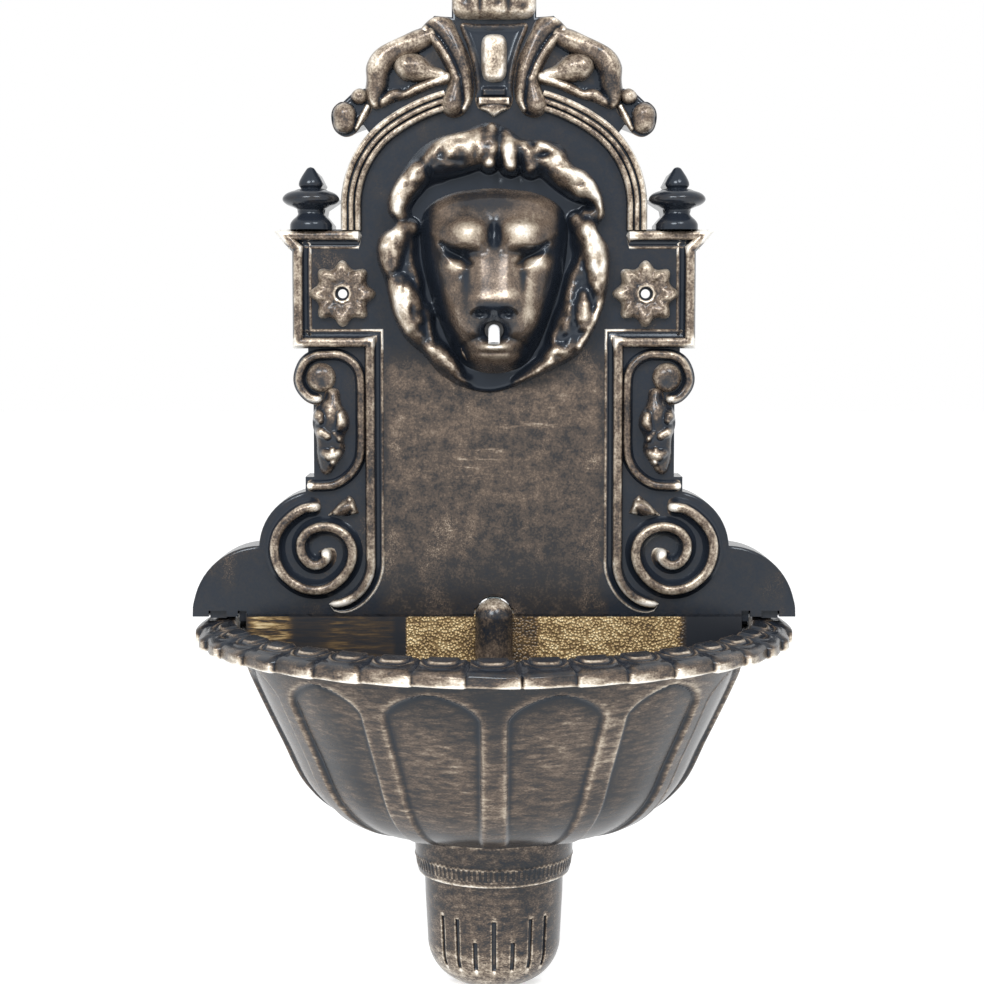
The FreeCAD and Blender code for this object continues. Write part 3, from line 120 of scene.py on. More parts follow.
def startMaterial(name):
    material = bpy.data.materials.new(name)
    material.use_nodes = True
    tree = material.node_tree
    return material, tree, tree.nodes["Principled BSDF"]


def addBump(tree, shader, strength, depth, height):
    bump = addNode(tree, "ShaderNodeBump", {"Strength": strength, "Distance": depth, "Height": height})
    tree.links.new(bump.outputs[0], shader.inputs["Normal"])


# Dark resin, dry-brushed with bronze; the wear attribute says how proud a spot of the surface stands, and
# also holds the painted highlights of the lion, the leaves and the rim and the painted shade of the lion
bronzeLook = {
    "stops": [  # resin, its shade, bronze, pale bronze, cream
        (0.0, (29, 34, 42)), (0.16, (46, 43, 42)), (0.38, (102, 88, 76)), (0.66, (187, 174, 156)),
        (0.95, (248, 242, 232))],
    "grain": 620.0, "brush": 110.0, "cloud": 17.0,
    "metal": 0.45, "roughResin": 0.2, "roughBronze": 0.36,
    "specular": 0.3, "tint": (0.82, 0.91, 1.0, 1), "coat": 0.08, "coatRoughness": 0.14,
    "bump": 0.25, "bumpDepth": 0.0004,
}


# Bronze brushed over dark resin, speckled where it is thick and clean where the resin is bare
def agedBronze(name, field=0.0, patches=0.25, streaks=(1, 1, 1), speckle=0.35, fieldMask=None):
    look = bronzeLook
    material, tree, shader = startMaterial(name)
    place = addNode(tree, "ShaderNodeTexCoord").outputs["Object"]
    wearAndLight = addNode(tree, "ShaderNodeAttribute", attribute_name="wearAndLight").outputs["Fac"]
    grain = noiseAt(tree, place, look["grain"], streaks, 3.0, 0.7)
    brush = noiseAt(tree, place, look["brush"], streaks, 5.0, 0.62)
    cloud = noiseAt(tree, place, look["cloud"], (1, 1, 1), 3.0, 0.5)
    base = doMath(tree, "ADD", wearAndLight, field)
    if fieldMask:
        base = doMath(tree, "ADD", base, fieldMask(tree, place))
    mottle = doMath(tree, "MULTIPLY", doMath(tree, "SUBTRACT", grain, 0.5), speckle * 2.2)
    mottle = doMath(tree, "MULTIPLY_ADD", doMath(tree, "SUBTRACT", brush, 0.5), speckle * 2.4, mottle)
    mottle = doMath(tree, "MULTIPLY_ADD", doMath(tree, "SUBTRACT", cloud, 0.5), patches * 1.5, mottle)
    spread = rampNumbers(tree, base, 0.0, 0.45, 0.3, 1.0)
    amount = doMath(tree, "MULTIPLY_ADD", mottle, spread, base, clamp=True)
    tree.links.new(rampColours(tree, amount, look["stops"]), shader.inputs["Base Color"])
    tree.links.new(rampNumbers(tree, amount, 0.12, 0.6, 0.0, look["metal"]), shader.inputs["Metallic"])
    rough = rampNumbers(tree, amount, 0.05, 0.6, look["roughResin"], look["roughBronze"])
    tree.links.new(rough, shader.inputs["Roughness"])
    shader.inputs["Specular IOR Level"].default_value = look["specular"]
    shader.inputs["Specular Tint"].default_value = look["tint"]
    shader.inputs["Coat Weight"].default_value = look["coat"]
    shader.inputs["Coat Roughness"].default_value = look["coatRoughness"]
    uneven = doMath(tree, "ADD", brush, doMath(tree, "MULTIPLY", grain, 0.35))
    addBump(tree, shader, look["bump"], look["bumpDepth"], uneven)
    return material


# Plastic, rubber or metal with a fine grain; spread is how far its colour varies
def plainPlastic(name, colour, roughness, metallic=0.0, spread=0.06, scale=240.0, clear=0.0):
    material, tree, shader = startMaterial(name)
    place = addNode(tree, "ShaderNodeTexCoord").outputs["Object"]
    fine = noiseAt(tree, place, scale, (1, 1, 1), 3.0, 0.6)
    broad = noiseAt(tree, place, scale * 0.12, (1, 1, 1), 2.0, 0.5)
    both = doMath(tree, "MULTIPLY_ADD", broad, 0.5, doMath(tree, "MULTIPLY", fine, 0.5))
    darker = tuple(c * (1 - 2 * spread) for c in colour)
    lighter = tuple(min(255, c * (1 + 2 * spread)) for c in colour)
    tree.links.new(rampColours(tree, both, [(0.3, darker), (0.7, lighter)]), shader.inputs["Base Color"])
    rough = rampNumbers(tree, fine, 0.2, 0.8, roughness * 0.8, roughness * 1.2)
    tree.links.new(rough, shader.inputs["Roughness"])
    shader.inputs["Metallic"].default_value = metallic
    shader.inputs["Transmission Weight"].default_value = clear
    addBump(tree, shader, 0.12, 0.0002, fine)
    return material


# Smooth way from a to b for t from 0 to 1, with its slopes at both ends
def smoothWay(t, a, b, slopeA, slopeB):
    return ((2 * t**3 - 3 * t**2 + 1) * a + (t**3 - 2 * t**2 + t) * slopeA
            + (3 * t**2 - 2 * t**3) * b + (t**3 - t**2) * slopeB)


# Points about gap apart on a smooth curve through the given ones
def smoothLine(points, gap=1.0, closed=False):
    pts = np.array(points, float)
    count = len(pts)
    spans = count if closed else count - 1
    out = []
    for k in range(spans):
        if closed:
            a, b, c, d = (pts[(k + j) % count] for j in (-1, 0, 1, 2))
        else:
            a, b, c, d = pts[max(k - 1, 0)], pts[k], pts[k + 1], pts[min(k + 2, count - 1)]
        steps = max(1, int(np.ceil(np.linalg.norm(c - b) / gap)))
        out += [smoothWay(t, b, c, (c - a) / 2, (d - b) / 2) for t in np.arange(steps) / steps]
    if not closed:
        out.append(pts[-1])
    return np.array(out)


def mirrorRight(half):
    return list(half) + [(-x, z) for x, z in half[-2:0:-1]]


def isInside(points, edge):
    inside = np.zeros(len(points), bool)
    x, z = points[:, 0], points[:, 1]
    for (ax, az), (bx, bz) in zip(edge, np.roll(edge, -1, axis=0)):
        if az == bz:
            continue
        crosses = (az > z) != (bz > z)
        inside ^= crosses & (x < (bx - ax) * (z - az) / (bz - az) + ax)
    return inside


# Distance to a closed line and the nearest place on it
def nearestOn(points, line):
    best = np.full(len(points), 1e9)
    spot = np.zeros((len(points), 2))
    for a, b in zip(line, np.roll(line, -1, axis=0)):
        span = b - a
        size = max(span @ span, 1e-12)
        t = np.clip(((points - a) @ span) / size, 0, 1)
        near = a + t[:, None] * span
        gap = np.hypot(*(points - near).T)
        closer = gap < best
        best[closer] = gap[closer]
        spot[closer] = near[closer]
    return best, spot


def softMax(a, b, blend):
    gap = np.clip(blend - np.abs(a - b), 0, None) / blend
    return np.maximum(a, b) + gap**3 * blend / 6


def smoothStep(value, low, high):
    t = np.clip((value - low) / (high - low), 0, 1)
    return t * t * (3 - 2 * t)


def hump(x, z, cx, cz, sx, sz):
    return np.exp(-((x - cx) / sx)**2 - ((z - cz) / sz)**2)


# Sum of soft spots, each given as x, z, spread across, spread down and amount
def spotSum(x, z, spots):
    total = np.zeros(len(x))
    for cx, cz, wide, tall, amount in spots:
        total += amount * hump(x, z, cx, cz, wide, tall)
    return total


# Height of a rounded stroke that swells and tapers along a smooth line of x, z, half width, height
def strokeHeight(points, stroke):
    height = np.zeros(len(points))
    for x, z, half, rise in smoothLine(stroke, 1.5):
        if half <= 0:
            continue
        away = ((points[:, 0] - x)**2 + (points[:, 1] - z)**2) / half**2
        height = np.maximum(height, rise * np.sqrt(np.clip(1 - away, 0, 1)))
    return height


# The relief of a leaf or another piece over its outline: the greatest height of its strokes over its floor,
# joined softly over its blend
def strokedMesh(shape, outline):
    def heightAt(points):
        height = np.full(len(points), float(shape["floor"]))
        for stroke in shape["strokes"]:
            height = softMax(height, strokeHeight(points, stroke), shape["blend"])
        return height

    return reliefMesh(outline, heightAt, *shape["mesh"])


# A grid of faces laid through an array of places, rows by columns
def gridMesh(places):
    rows, columns = places.shape[:2]
    bm = bmesh.new()
    bmesh.ops.create_grid(bm, x_segments=columns - 1, y_segments=rows - 1, size=1)
    for vert, place in zip(bm.verts, places.reshape(-1, 3)):
        vert.co = place
    return bm


# A raised form over an outline on the panel: step is the size of its faces, skirt the share of the height
# that stands straight at the edge, and reach how far in the rest rolls off
def reliefMesh(outline, heightAt, step, skirt, reach):
    edge = np.array(outline, float)
    low, high = edge.min(0) - step, edge.max(0) + step
    columns = int((high[0] - low[0]) / step) + 1
    rows = int((high[1] - low[1]) / step) + 1
    xs = np.linspace(low[0], high[0], columns)
    zs = np.linspace(low[1], high[1], rows)
    flat = np.stack(np.meshgrid(xs, zs), -1).reshape(-1, 2)
    inside = isInside(flat, edge)
    away, spot = nearestOn(flat, edge)
    keep = inside | (away < 0.7 * step)
    places = np.zeros((rows * columns, 3))
    places[:, 0], places[:, 2] = flat[:, 0], flat[:, 1]
    bm = gridMesh(places.reshape(rows, columns, 3))
    verts = list(bm.verts)
    lost = [v for v, kept in zip(verts, keep) if not kept]
    kept = {v: i for i, v in enumerate(verts) if keep[i]}
    bmesh.ops.delete(bm, geom=lost, context="VERTS")
    rim = {v for e in bm.edges if e.is_boundary for v in e.verts}
    for v, i in kept.items():
        if v.is_valid and v in rim:
            v.co.x, v.co.z = spot[i]
    bmesh.ops.remove_doubles(bm, verts=bm.verts, dist=step * 0.12)
    bmesh.ops.dissolve_degenerate(bm, edges=bm.edges, dist=step * 0.05)
    spots = np.array([(v.co.x, v.co.z) for v in bm.verts])
    away = nearestOn(spots, edge)[0]
    rim = {v for e in bm.edges if e.is_boundary for v in e.verts}
    roll = np.sqrt(np.clip(1 - (1 - np.clip(away / reach, 0, 1))**2, 0, 1))
    heights = heightAt(spots) * (skirt + (1 - skirt) * roll)
    for v, h in zip(bm.verts, heights):
        v.co.y = faceY - h
    wall = [e for e in bm.edges if e.is_boundary]
    made = bmesh.ops.extrude_edge_only(bm, edges=wall)["geom"]
    for v in (g for g in made if isinstance(g, bmesh.types.BMVert)):
        v.co.y = faceY + sunk
    return bm


# A strip along a line on the panel; section gives offset and height, taper scales both at each point
def sweepMesh(path, section, taper=None):
    line = np.array(path, float)
    ahead = np.diff(line, axis=0)
    ahead /= np.linalg.norm(ahead, axis=1)[:, None]
    before = np.vstack([ahead[:1], ahead])
    after = np.vstack([ahead, ahead[-1:]])
    mean = before + after
    mean /= np.linalg.norm(mean, axis=1)[:, None]
    side = np.stack([-mean[:, 1], mean[:, 0]], 1)
    mitre = 1 / np.clip((mean * after).sum(1), 0.5, 1)
    shape = np.array(section, float)
    places = np.zeros((len(line), len(shape), 3))
    for k, spot in enumerate(line):
        wide, tall = taper[k] if taper is not None else (1, 1)
        offset = spot + side[k] * (shape[:, :1] * mitre[k] * wide)
        places[k, :, 0], places[k, :, 2] = offset[:, 0], offset[:, 1]
        places[k, :, 1] = faceY - shape[:, 1] * tall
    return gridMesh(places)


# A profile of radius and height turned about the vertical axis; angle 0 looks away from the wall
def turnedMesh(profile, angles, radiusAt=None):
    rings = np.array(profile, float)
    turn = np.radians(angles)
    r = np.repeat(rings[:, :1], len(turn), 1)
    z = np.repeat(rings[:, 1:], len(turn), 1)
    if radiusAt is not None:
        r, z = radiusAt(r, z, np.tile(turn, (len(rings), 1)))
    places = np.stack([r * np.sin(turn), -r * np.cos(turn), z], -1)
    return gridMesh(places)


# Merges poles and seams, fills the openings on the wall side and turns the faces outward
def closeBack(bm):
    bmesh.ops.remove_doubles(bm, verts=bm.verts, dist=0.02)
    edges = [e for e in bm.edges if e.is_boundary]
    bmesh.ops.triangle_fill(bm, edges=edges, use_beauty=True, use_dissolve=False, normal=(0, 1, 0))
    bmesh.ops.recalc_face_normals(bm, faces=bm.faces)


# Stores how far each spot stands out of its surroundings, smoothed in some rounds: millimetres times gain,
# over a level, with the bronze, painted highlights and painted shade that dust adds at each place. Toward the
# wall the resin stays bare
def markWear(mesh, rounds, gain, level, dustAndLight=None):
    count = len(mesh.vertices)
    places = np.empty(count * 3)
    mesh.vertices.foreach_get("co", places)
    places = places.reshape(-1, 3) * 1000
    normals = np.empty(count * 3)
    mesh.vertex_normals.foreach_get("vector", normals)
    normals = normals.reshape(-1, 3)
    pairs = np.empty(len(mesh.edges) * 2, int)
    mesh.edges.foreach_get("vertices", pairs)
    a, b = pairs.reshape(-1, 2).T
    valence = np.maximum(np.bincount(a, minlength=count) + np.bincount(b, minlength=count), 1)
    calm = places.copy()
    for _ in range(rounds):
        total = np.stack([
            np.bincount(a, calm[b, k], count) + np.bincount(b, calm[a, k], count) for k in range(3)], 1)
        calm = 0.4 * calm + 0.6 * total / valence[:, None]
    bulge = ((places - calm) * normals).sum(1)
    wearAndLight = np.clip(level + bulge * gain + (dustAndLight(places) if dustAndLight else 0), -0.6, 1)
    wearAndLight -= (wearAndLight + 0.3) * smoothStep(places[:, 1], -3.5, -1)
    mesh.attributes.new("wearAndLight", "FLOAT", "POINT").data.foreach_set("value", wearAndLight.astype(np.float32))


# Turns a finished bmesh in millimetres into a piece of the fountain that stands for a CAD node
def makePiece(name, bm, material, node, wearAndLight, crease=38):
    bmesh.ops.scale(bm, vec=(0.001, 0.001, 0.001), verts=bm.verts)
    mesh = bpy.data.meshes.new(name)
    bm.to_mesh(mesh)
    bm.free()
    mesh.shade_smooth()
    mesh.set_sharp_from_angle(angle=math.radians(crease))
    markWear(mesh, *wearAndLight)
    mesh.materials.append(material)
    piece = bpy.data.objects.new(name, mesh)
    bpy.context.scene.collection.objects.link(piece)
    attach(piece, "fountain")
    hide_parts(node)
    return piece


# Open reliefs have no inside, so their faces are turned to look away from the wall
def faceOut(bm):
    bmesh.ops.recalc_face_normals(bm, faces=bm.faces)
    if sum(f.normal.y * f.calc_area() for f in bm.faces) > 0:
        bmesh.ops.reverse_faces(bm, faces=bm.faces)


# The left piece as given, and its mirror image on the right
def makePair(name, bm, material, node, wearAndLight):
    other = bm.copy()
    bmesh.ops.scale(other, vec=(-1, 1, 1), verts=other.verts)
    for side, part in (("left", bm), ("right", other)):
        faceOut(part)
        makePiece(name + side.capitalize(), part, material, node + "_" + side, wearAndLight)


def addRelief(name, bm, material, node, wearAndLight, crease=38):
    faceOut(bm)
    makePiece(name, bm, material, node, wearAndLight, crease)


# Back panel: the CAD shell with its front edges rolled, as a moulded tray has them
panelTray = {
    "roll": 2.2, "rollSteps": 3, "foot": -226.0,
    "bore": 4, "boreBack": 6.1, "boreReach": 10,  # the screw bores widen behind the sheet
    "maskZ": -12, "maskReach": 42,  # edges nearer to the mask's opening stay sharp
}
# Bronze on the panel, in metres: heights between which its brown field starts and fades, half its width,
# and the sizes of its marks and specks
panelLook = {
    "top": (-0.06, -0.03), "foot": (-0.22, -0.14), "half": (0.07, 0.085), "front": (-0.0345, -0.0338),
    "marks": 26.0, "scratch": 60.0, "dustAndLight": 24.0, "specks": 1300.0,
    "scratchSlope": 0.55, "scratchDrop": 0.108, "scratchX": 0.01,
}


# Where a stroke crosses the lower field, right of its middle
def scratchZone(tree, axes):
    sloped = doMath(tree, "MULTIPLY", axes.outputs[0], -panelLook["scratchSlope"])
    away = doMath(tree, "ADD", sloped, axes.outputs[2])
    away = doMath(tree, "ABSOLUTE", doMath(tree, "ADD", away, panelLook["scratchDrop"]))
    zone = rampNumbers(tree, away, 0.0, 0.022, 1.0, 0.0)
    along = doMath(tree, "ABSOLUTE", doMath(tree, "SUBTRACT", axes.outputs[0], panelLook["scratchX"]))
    return doMath(tree, "MULTIPLY", zone, rampNumbers(tree, along, 0.02, 0.055, 1.0, 0.0))


# Brown brush marks on the lower field with a paler stroke across them, and faint specks all over
def panelField(tree, place):
    look = panelLook
    axes = addNode(tree, "ShaderNodeSeparateXYZ", {0: place})
    front = rampNumbers(tree, axes.outputs[1], *look["front"], 1.0, 0.0)
    low = doMath(tree, "MULTIPLY", rampNumbers(tree, axes.outputs[2], *look["top"], 1.0, 0.0), front)
    within = rampNumbers(tree, doMath(tree, "ABSOLUTE", axes.outputs[0]), *look["half"], 1.0, 0.0)
    foot = rampNumbers(tree, axes.outputs[2], *look["foot"], 0.5, 1.0)
    field = doMath(tree, "MULTIPLY", doMath(tree, "MULTIPLY", low, within), foot)
    marks = noiseAt(tree, place, look["marks"], (0.6, 1.0, 1.9), 8.0, 0.75, (0, 0.6, 0))
    field = doMath(tree, "MULTIPLY", field, rampNumbers(tree, marks, 0.34, 0.7, 0.16, 0.29))
    scratch = noiseAt(tree, place, look["scratch"], (0.25, 1.0, 2.6), 6.0, 0.7, (0, -0.55, 0))
    scratch = rampNumbers(tree, scratch, 0.5, 0.64, 0.0, 0.3)
    field = doMath(tree, "ADD", field, doMath(tree, "MULTIPLY", scratchZone(tree, axes), scratch))
    dustAndLight = noiseAt(tree, place, look["dustAndLight"], (1.6, 1.0, 0.8), 2.0, 0.5)
    specks = doMath(tree, "MULTIPLY", rampNumbers(tree, dustAndLight, 0.52, 0.74, 0.0, 0.15), front)
    fine = noiseAt(tree, place, look["specks"], (1, 1, 1), 2.0, 0.6)
    specks = doMath(tree, "MULTIPLY", specks, rampNumbers(tree, fine, 0.46, 0.66, 0.3, 1.7))
    return doMath(tree, "ADD", field, specks)


# The CAD node's mesh, merged and cleaned, in millimetres
def cadCopy(node):
    bm = bmesh.new()
    bm.from_mesh(frame["nodes"][node].data)
    bmesh.ops.scale(bm, vec=(1000, 1000, 1000), verts=bm.verts)
    bmesh.ops.remove_doubles(bm, verts=bm.verts, dist=0.01)
    bmesh.ops.dissolve_limit(
        bm, angle_limit=math.radians(0.5), use_dissolve_boundaries=False, verts=bm.verts, edges=bm.edges)
    return bm


# Large flat faces keep their own direction, so that the rolled edges don't shade them
def flattenShading(piece):
    directions = []
    for face in piece.data.polygons:
        plain = face.area > 4e-6 and abs(face.normal.y) > 0.999
        directions += [tuple(face.normal) if plain else (0, 0, 0)] * face.loop_total
    piece.data.normals_split_custom_set(directions)


def makeBackPanel():
    tray = panelTray
    bm = cadCopy("back_panel")
    front = [e for e in bm.edges if len(e.link_faces) == 2
             and all(abs(v.co.y - faceY) < 0.05 for v in e.verts)
             and min(v.co.z for v in e.verts) > seamZ + 8
             and sorted(abs(f.normal.y) > 0.9 for f in e.link_faces) == [False, True]]
    rolled = [e for e in front
              if min(math.hypot(abs(v.co.x) - screwX, v.co.z) for v in e.verts) >= tray["boreReach"]
              and min(math.hypot(v.co.x, v.co.z - tray["maskZ"]) for v in e.verts) >= tray["maskReach"]]
    for v in bm.verts:
        if v.co.z < seamZ + 0.05:
            v.co.z = tray["foot"]
        spread = math.hypot(abs(v.co.x) - screwX, v.co.z)
        if spread < tray["bore"] and v.co.y > -5:
            grow = tray["boreBack"] / spread
            centre = math.copysign(screwX, v.co.x)
            v.co.x = centre + (v.co.x - centre) * grow
            v.co.z *= grow
    bmesh.ops.bevel(
        bm, geom=rolled, offset=tray["roll"], segments=tray["rollSteps"], profile=0.5,
        affect="EDGES", material=-1, clamp_overlap=False, offset_type="OFFSET")
    bmesh.ops.triangulate(bm, faces=[f for f in bm.faces if len(f.verts) > 4])
    bronze = agedBronze("panelBronze", patches=0.1, speckle=0.3, fieldMask=panelField)
    flattenShading(makePiece("backPanel", bm, bronze, "back_panel", (1, 0.0, 0.03), crease=32))


makeBackPanel()
print("back panel made")

ridgeBronze = agedBronze("ridgeBronze", patches=0.4, speckle=0.42)

# Ridges on the panel: half width, height, the thin step beside them, their corners from the cornice down
# the left side, and the tail that curls in at the foot, as its middle and radius
ridgeShape = {
    "half": 3.3, "height": 8.0, "step": 4.2, "stepHeight": 0.9,
    "corners": [(-91.5, 40), (-144.5, 40), (-135.5, 31), (-135.5, -33.5), (-86, -33.5), (-86, -187)],
    "tail": (-116, -187, 30),
}
ridgeWear = (10, 0.95, 0.0)


# Offsets and heights across a ridge; flare widens its foot into a hollow flank
def ridgeSection(half, height, flare, step=0.0, stepHeight=0.9):
    bow = [(1.0, 0.0), (0.98, 0.3), (0.9, 0.55), (0.76, 0.76), (0.55, 0.9), (0.28, 0.975)]
    foot = [(half * (1 + flare), -0.3), (half * (1 + 0.72 * flare), 0.35),
            (half * (1 + 0.4 * flare), height * 0.14), (half * (1 + 0.12 * flare), height * 0.34)]
    flank = foot + [(half * w, height * (0.42 + 0.58 * h)) for w, h in bow[1:]]
    left = [(-o, h) for o, h in flank]
    right = [(o, h) for o, h in reversed(flank)]
    section = left + [(0.0, height)] + right
    if step > 0:
        wide = half + step
        section = section[:-3] + [
            (half * 1.25, 1.1), (wide - 1.6, 0.35), (wide - 0.9, stepHeight), (wide, stepHeight + 0.15),
            (wide + 0.9, stepHeight), (wide + 1.8, -0.3)]
    return section


# Width and height factors that round a strip off over its first and last points
def roundEnds(count, startSteps, endSteps, startTo=0.0):
    factor = np.ones(count)
    for k in range(startSteps):
        t = 1 - k / startSteps
        factor[k] = max(startTo, math.sqrt(max(0.0, 1 - t * t)))
    for k in range(endSteps):
        t = 1 - k / endSteps
        factor[-1 - k] = min(factor[-1 - k], math.sqrt(max(0.0, 1 - t * t)))
    return np.stack([factor, factor], 1)


# Straight runs cut into short ones, corners kept
def denseLine(points, gap=2.0):
    out = [np.array(points[0], float)]
    for a, b in zip(points, points[1:]):
        a, b = np.array(a, float), np.array(b, float)
        steps = max(1, int(np.linalg.norm(b - a) / gap))
        out += [a + (b - a) * k / steps for k in range(1, steps + 1)]
    return out


def makeSideFrames():
    shape = ridgeShape
    line = denseLine(shape["corners"])
    x, z, radius = shape["tail"]
    turn = np.radians(np.arange(6, 91, 6))
    line += [np.array((x + radius * math.cos(t), z - radius * math.sin(t))) for t in turn]
    section = ridgeSection(shape["half"], shape["height"], 0.3, shape["step"], shape["stepHeight"])
    bm = sweepMesh(line, section, roundEnds(len(line), 1, 5, 0.05))
    makePair("frameRidge", bm, ridgeBronze, "side_frame", ridgeWear)


makeSideFrames()

# Scrolls of the side consoles, and the dished eye in the upper one as its middle, radius and height
scrollShape = {
    "half": 2.6, "height": 7.0,
    "upper": [
        (-119.5, -73.6), (-128, -71.3), (-134, -64.5), (-135.2, -57), (-131.5, -47.8), (-124.5, -43.0),
        (-116, -42.1), (-107, -42.4), (-99.5, -46.2), (-94.5, -52.5), (-92.6, -62), (-92.5, -85),
        (-92.8, -108), (-95.5, -118.5), (-102, -127), (-110.5, -132.2), (-119, -133.5), (-131, -133.5)],
    "voluteHalf": 3.5, "voluteHeight": 9.0,
    "volute": [
        (-121, -148.3), (-133, -149.5), (-144.5, -157.5), (-151.5, -167.5), (-153.3, -179), (-150, -191),
        (-142.5, -200), (-132, -205.6), (-119.5, -206), (-108.5, -200), (-101, -190), (-99, -179),
        (-102.5, -169.5), (-110.5, -163.5), (-120.5, -162), (-129.5, -165.5), (-134.5, -172.5), (-134, -181),
        (-129, -187.5), (-122.5, -188.5), (-117.5, -184), (-118.5, -177.5)],
    "eye": (-120.3, -58.0, 10.2, 8.5),
}


def makeScrolls():
    shape = scrollShape
    upper = smoothLine(shape["upper"], 1.6)
    section = ridgeSection(shape["half"], shape["height"], 0.7)
    bm = sweepMesh(upper, section, roundEnds(len(upper), 4, 3))
    makePair("upperScroll", bm, ridgeBronze, "upper_scroll", ridgeWear)
    volute = smoothLine(shape["volute"], 1.6)
    section = ridgeSection(shape["voluteHalf"], shape["voluteHeight"], 1.15)
    bm = sweepMesh(volute, section, roundEnds(len(volute), 5, 4))
    makePair("volute", bm, ridgeBronze, "volute", (10, 0.9, 0.0))


def makeScrollEyes():
    x, z, radius, height = scrollShape["eye"]
    turn = np.arange(72) * 2 * math.pi / 72
    circle = np.stack([x + radius * np.cos(turn), z + radius * np.sin(turn)], 1)

    def dish(p):
        dome = height * np.clip(1 - ((p[:, 0] - x) / 10.7)**2 - ((p[:, 1] - z) / 10.7)**2, 0.02, 1)**0.5
        return dome - 1.6 * np.exp(-((p[:, 0] - x - 1.0)**2 + (p[:, 1] - z + 3.0)**2) / 18)

    makePair("scrollEye", reliefMesh(circle, dish, 0.7, 0.4, 2), ridgeBronze, "scroll_eye", (14, 0.5, 0.12))


makeScrolls()
makeScrollEyes()

# Leaves on the left. The edge is their outline, and each stroke is x, z, half width and height along its
# line. The floor lies between the strokes, the mesh is as reliefMesh takes it, and rubbed bronze with painted
# highlights is given as for spotSum
husk = {
    "edge": [
        (-116.5, -66.0), (-108.5, -66.5), (-106.5, -76.0), (-102.0, -83.5), (-101.0, -92.0),
        (-104.5, -100.0), (-104.0, -109.0), (-108.5, -117.0), (-114.5, -125.0), (-120.5, -124.0),
        (-123.5, -113.0), (-124.0, -101.0), (-126.5, -90.0), (-124.5, -79.0), (-119.0, -73.5)],
    "strokes": [
        [(-112.5, -67, 4, 6), (-111.5, -74, 5.5, 9), (-112.5, -82, 9.5, 11.5), (-113.8, -91, 11.5, 12),
         (-113.8, -101, 10.5, 11), (-114, -110, 9.5, 10.5), (-115, -118, 7, 8), (-116.5, -124, 4, 5)],
        [(-121, -84.5, 5.4, 14.5), (-120, -87, 4.6, 14.5)],
        [(-106.5, -84, 4.4, 13), (-106, -88.5, 5.2, 14.5), (-108, -93, 4.2, 13)],
        [(-119.5, -95.5, 5.2, 14), (-115.5, -98, 5.2, 14)],
        [(-110.5, -96, 3.6, 13), (-107.5, -100, 3.8, 12)],
        [(-117, -110, 4.8, 13), (-112.6, -111.6, 6.0, 15), (-109, -110, 4.2, 13.5)],
        [(-112, -108, 3.4, 14), (-111.5, -116, 3.8, 13)]],
    "floor": 3.4, "blend": 1.2, "mesh": (0.6, 0.3, 2.5),
    "rubAndLight": [
        (112, -111.5, 5, 5, 0.5), (106.5, -87, 4, 5, 0.3), (117, -96.5, 6, 4, 0.35), (113, -80, 5, 7, 0.3)],
}
smallLeaf = {
    "edge": [
        (-116.5, -154.5), (-108.5, -146.0), (-101.5, -140.2), (-98.0, -143.0), (-94.5, -152.8),
        (-103.0, -155.0)],
    "strokes": [
        [(-110, -151.6, 3.5, 6.5), (-105, -149, 5.5, 9), (-100, -147.5, 5, 9), (-98.5, -151, 3.5, 7)],
        [(-100.6, -143, 2.2, 6), (-105, -147.5, 3.0, 6.6), (-110, -150.5, 2.4, 5), (-114.5, -153, 1.4, 3)],
        [(-100.6, -143, 2.2, 6), (-98.5, -148, 2.8, 6.4), (-96.8, -151.5, 1.8, 4)],
        [(-103, -149, 3.8, 5.2), (-101, -151, 2.5, 4)]],
    "floor": 2.0, "blend": 1.2, "mesh": (0.6, 0.3, 1.6),
}


# Rubbed bronze with painted highlights on the husk's bumps
def huskRubAndLight(places):
    return spotSum(np.abs(places[:, 0]), places[:, 2], husk["rubAndLight"])


def makeConsoleLeaves():
    bm = strokedMesh(husk, smoothLine(husk["edge"], 1, True))
    bmesh.ops.smooth_vert(bm, verts=bm.verts, factor=0.5, use_axis_y=True)
    makePair("husk", bm, ridgeBronze, "husk", (20, 0.46, 0.05, huskRubAndLight))
    edge = smallLeaf["edge"]
    outline = denseLine(edge + edge[:1], 1)[:-1]
    makePair("smallLeaf", strokedMesh(smallLeaf, outline), ridgeBronze, "small_leaf", (14, 0.6, 0.1))


makeConsoleLeaves()
print("consoles made")

# Rosettes: eight petals with a dished middle
rosetteShape = {"tip": 23.0, "waist": 18.4, "bore": 4.9, "tips": 8, "rim": 5.2, "crown": 8.6}


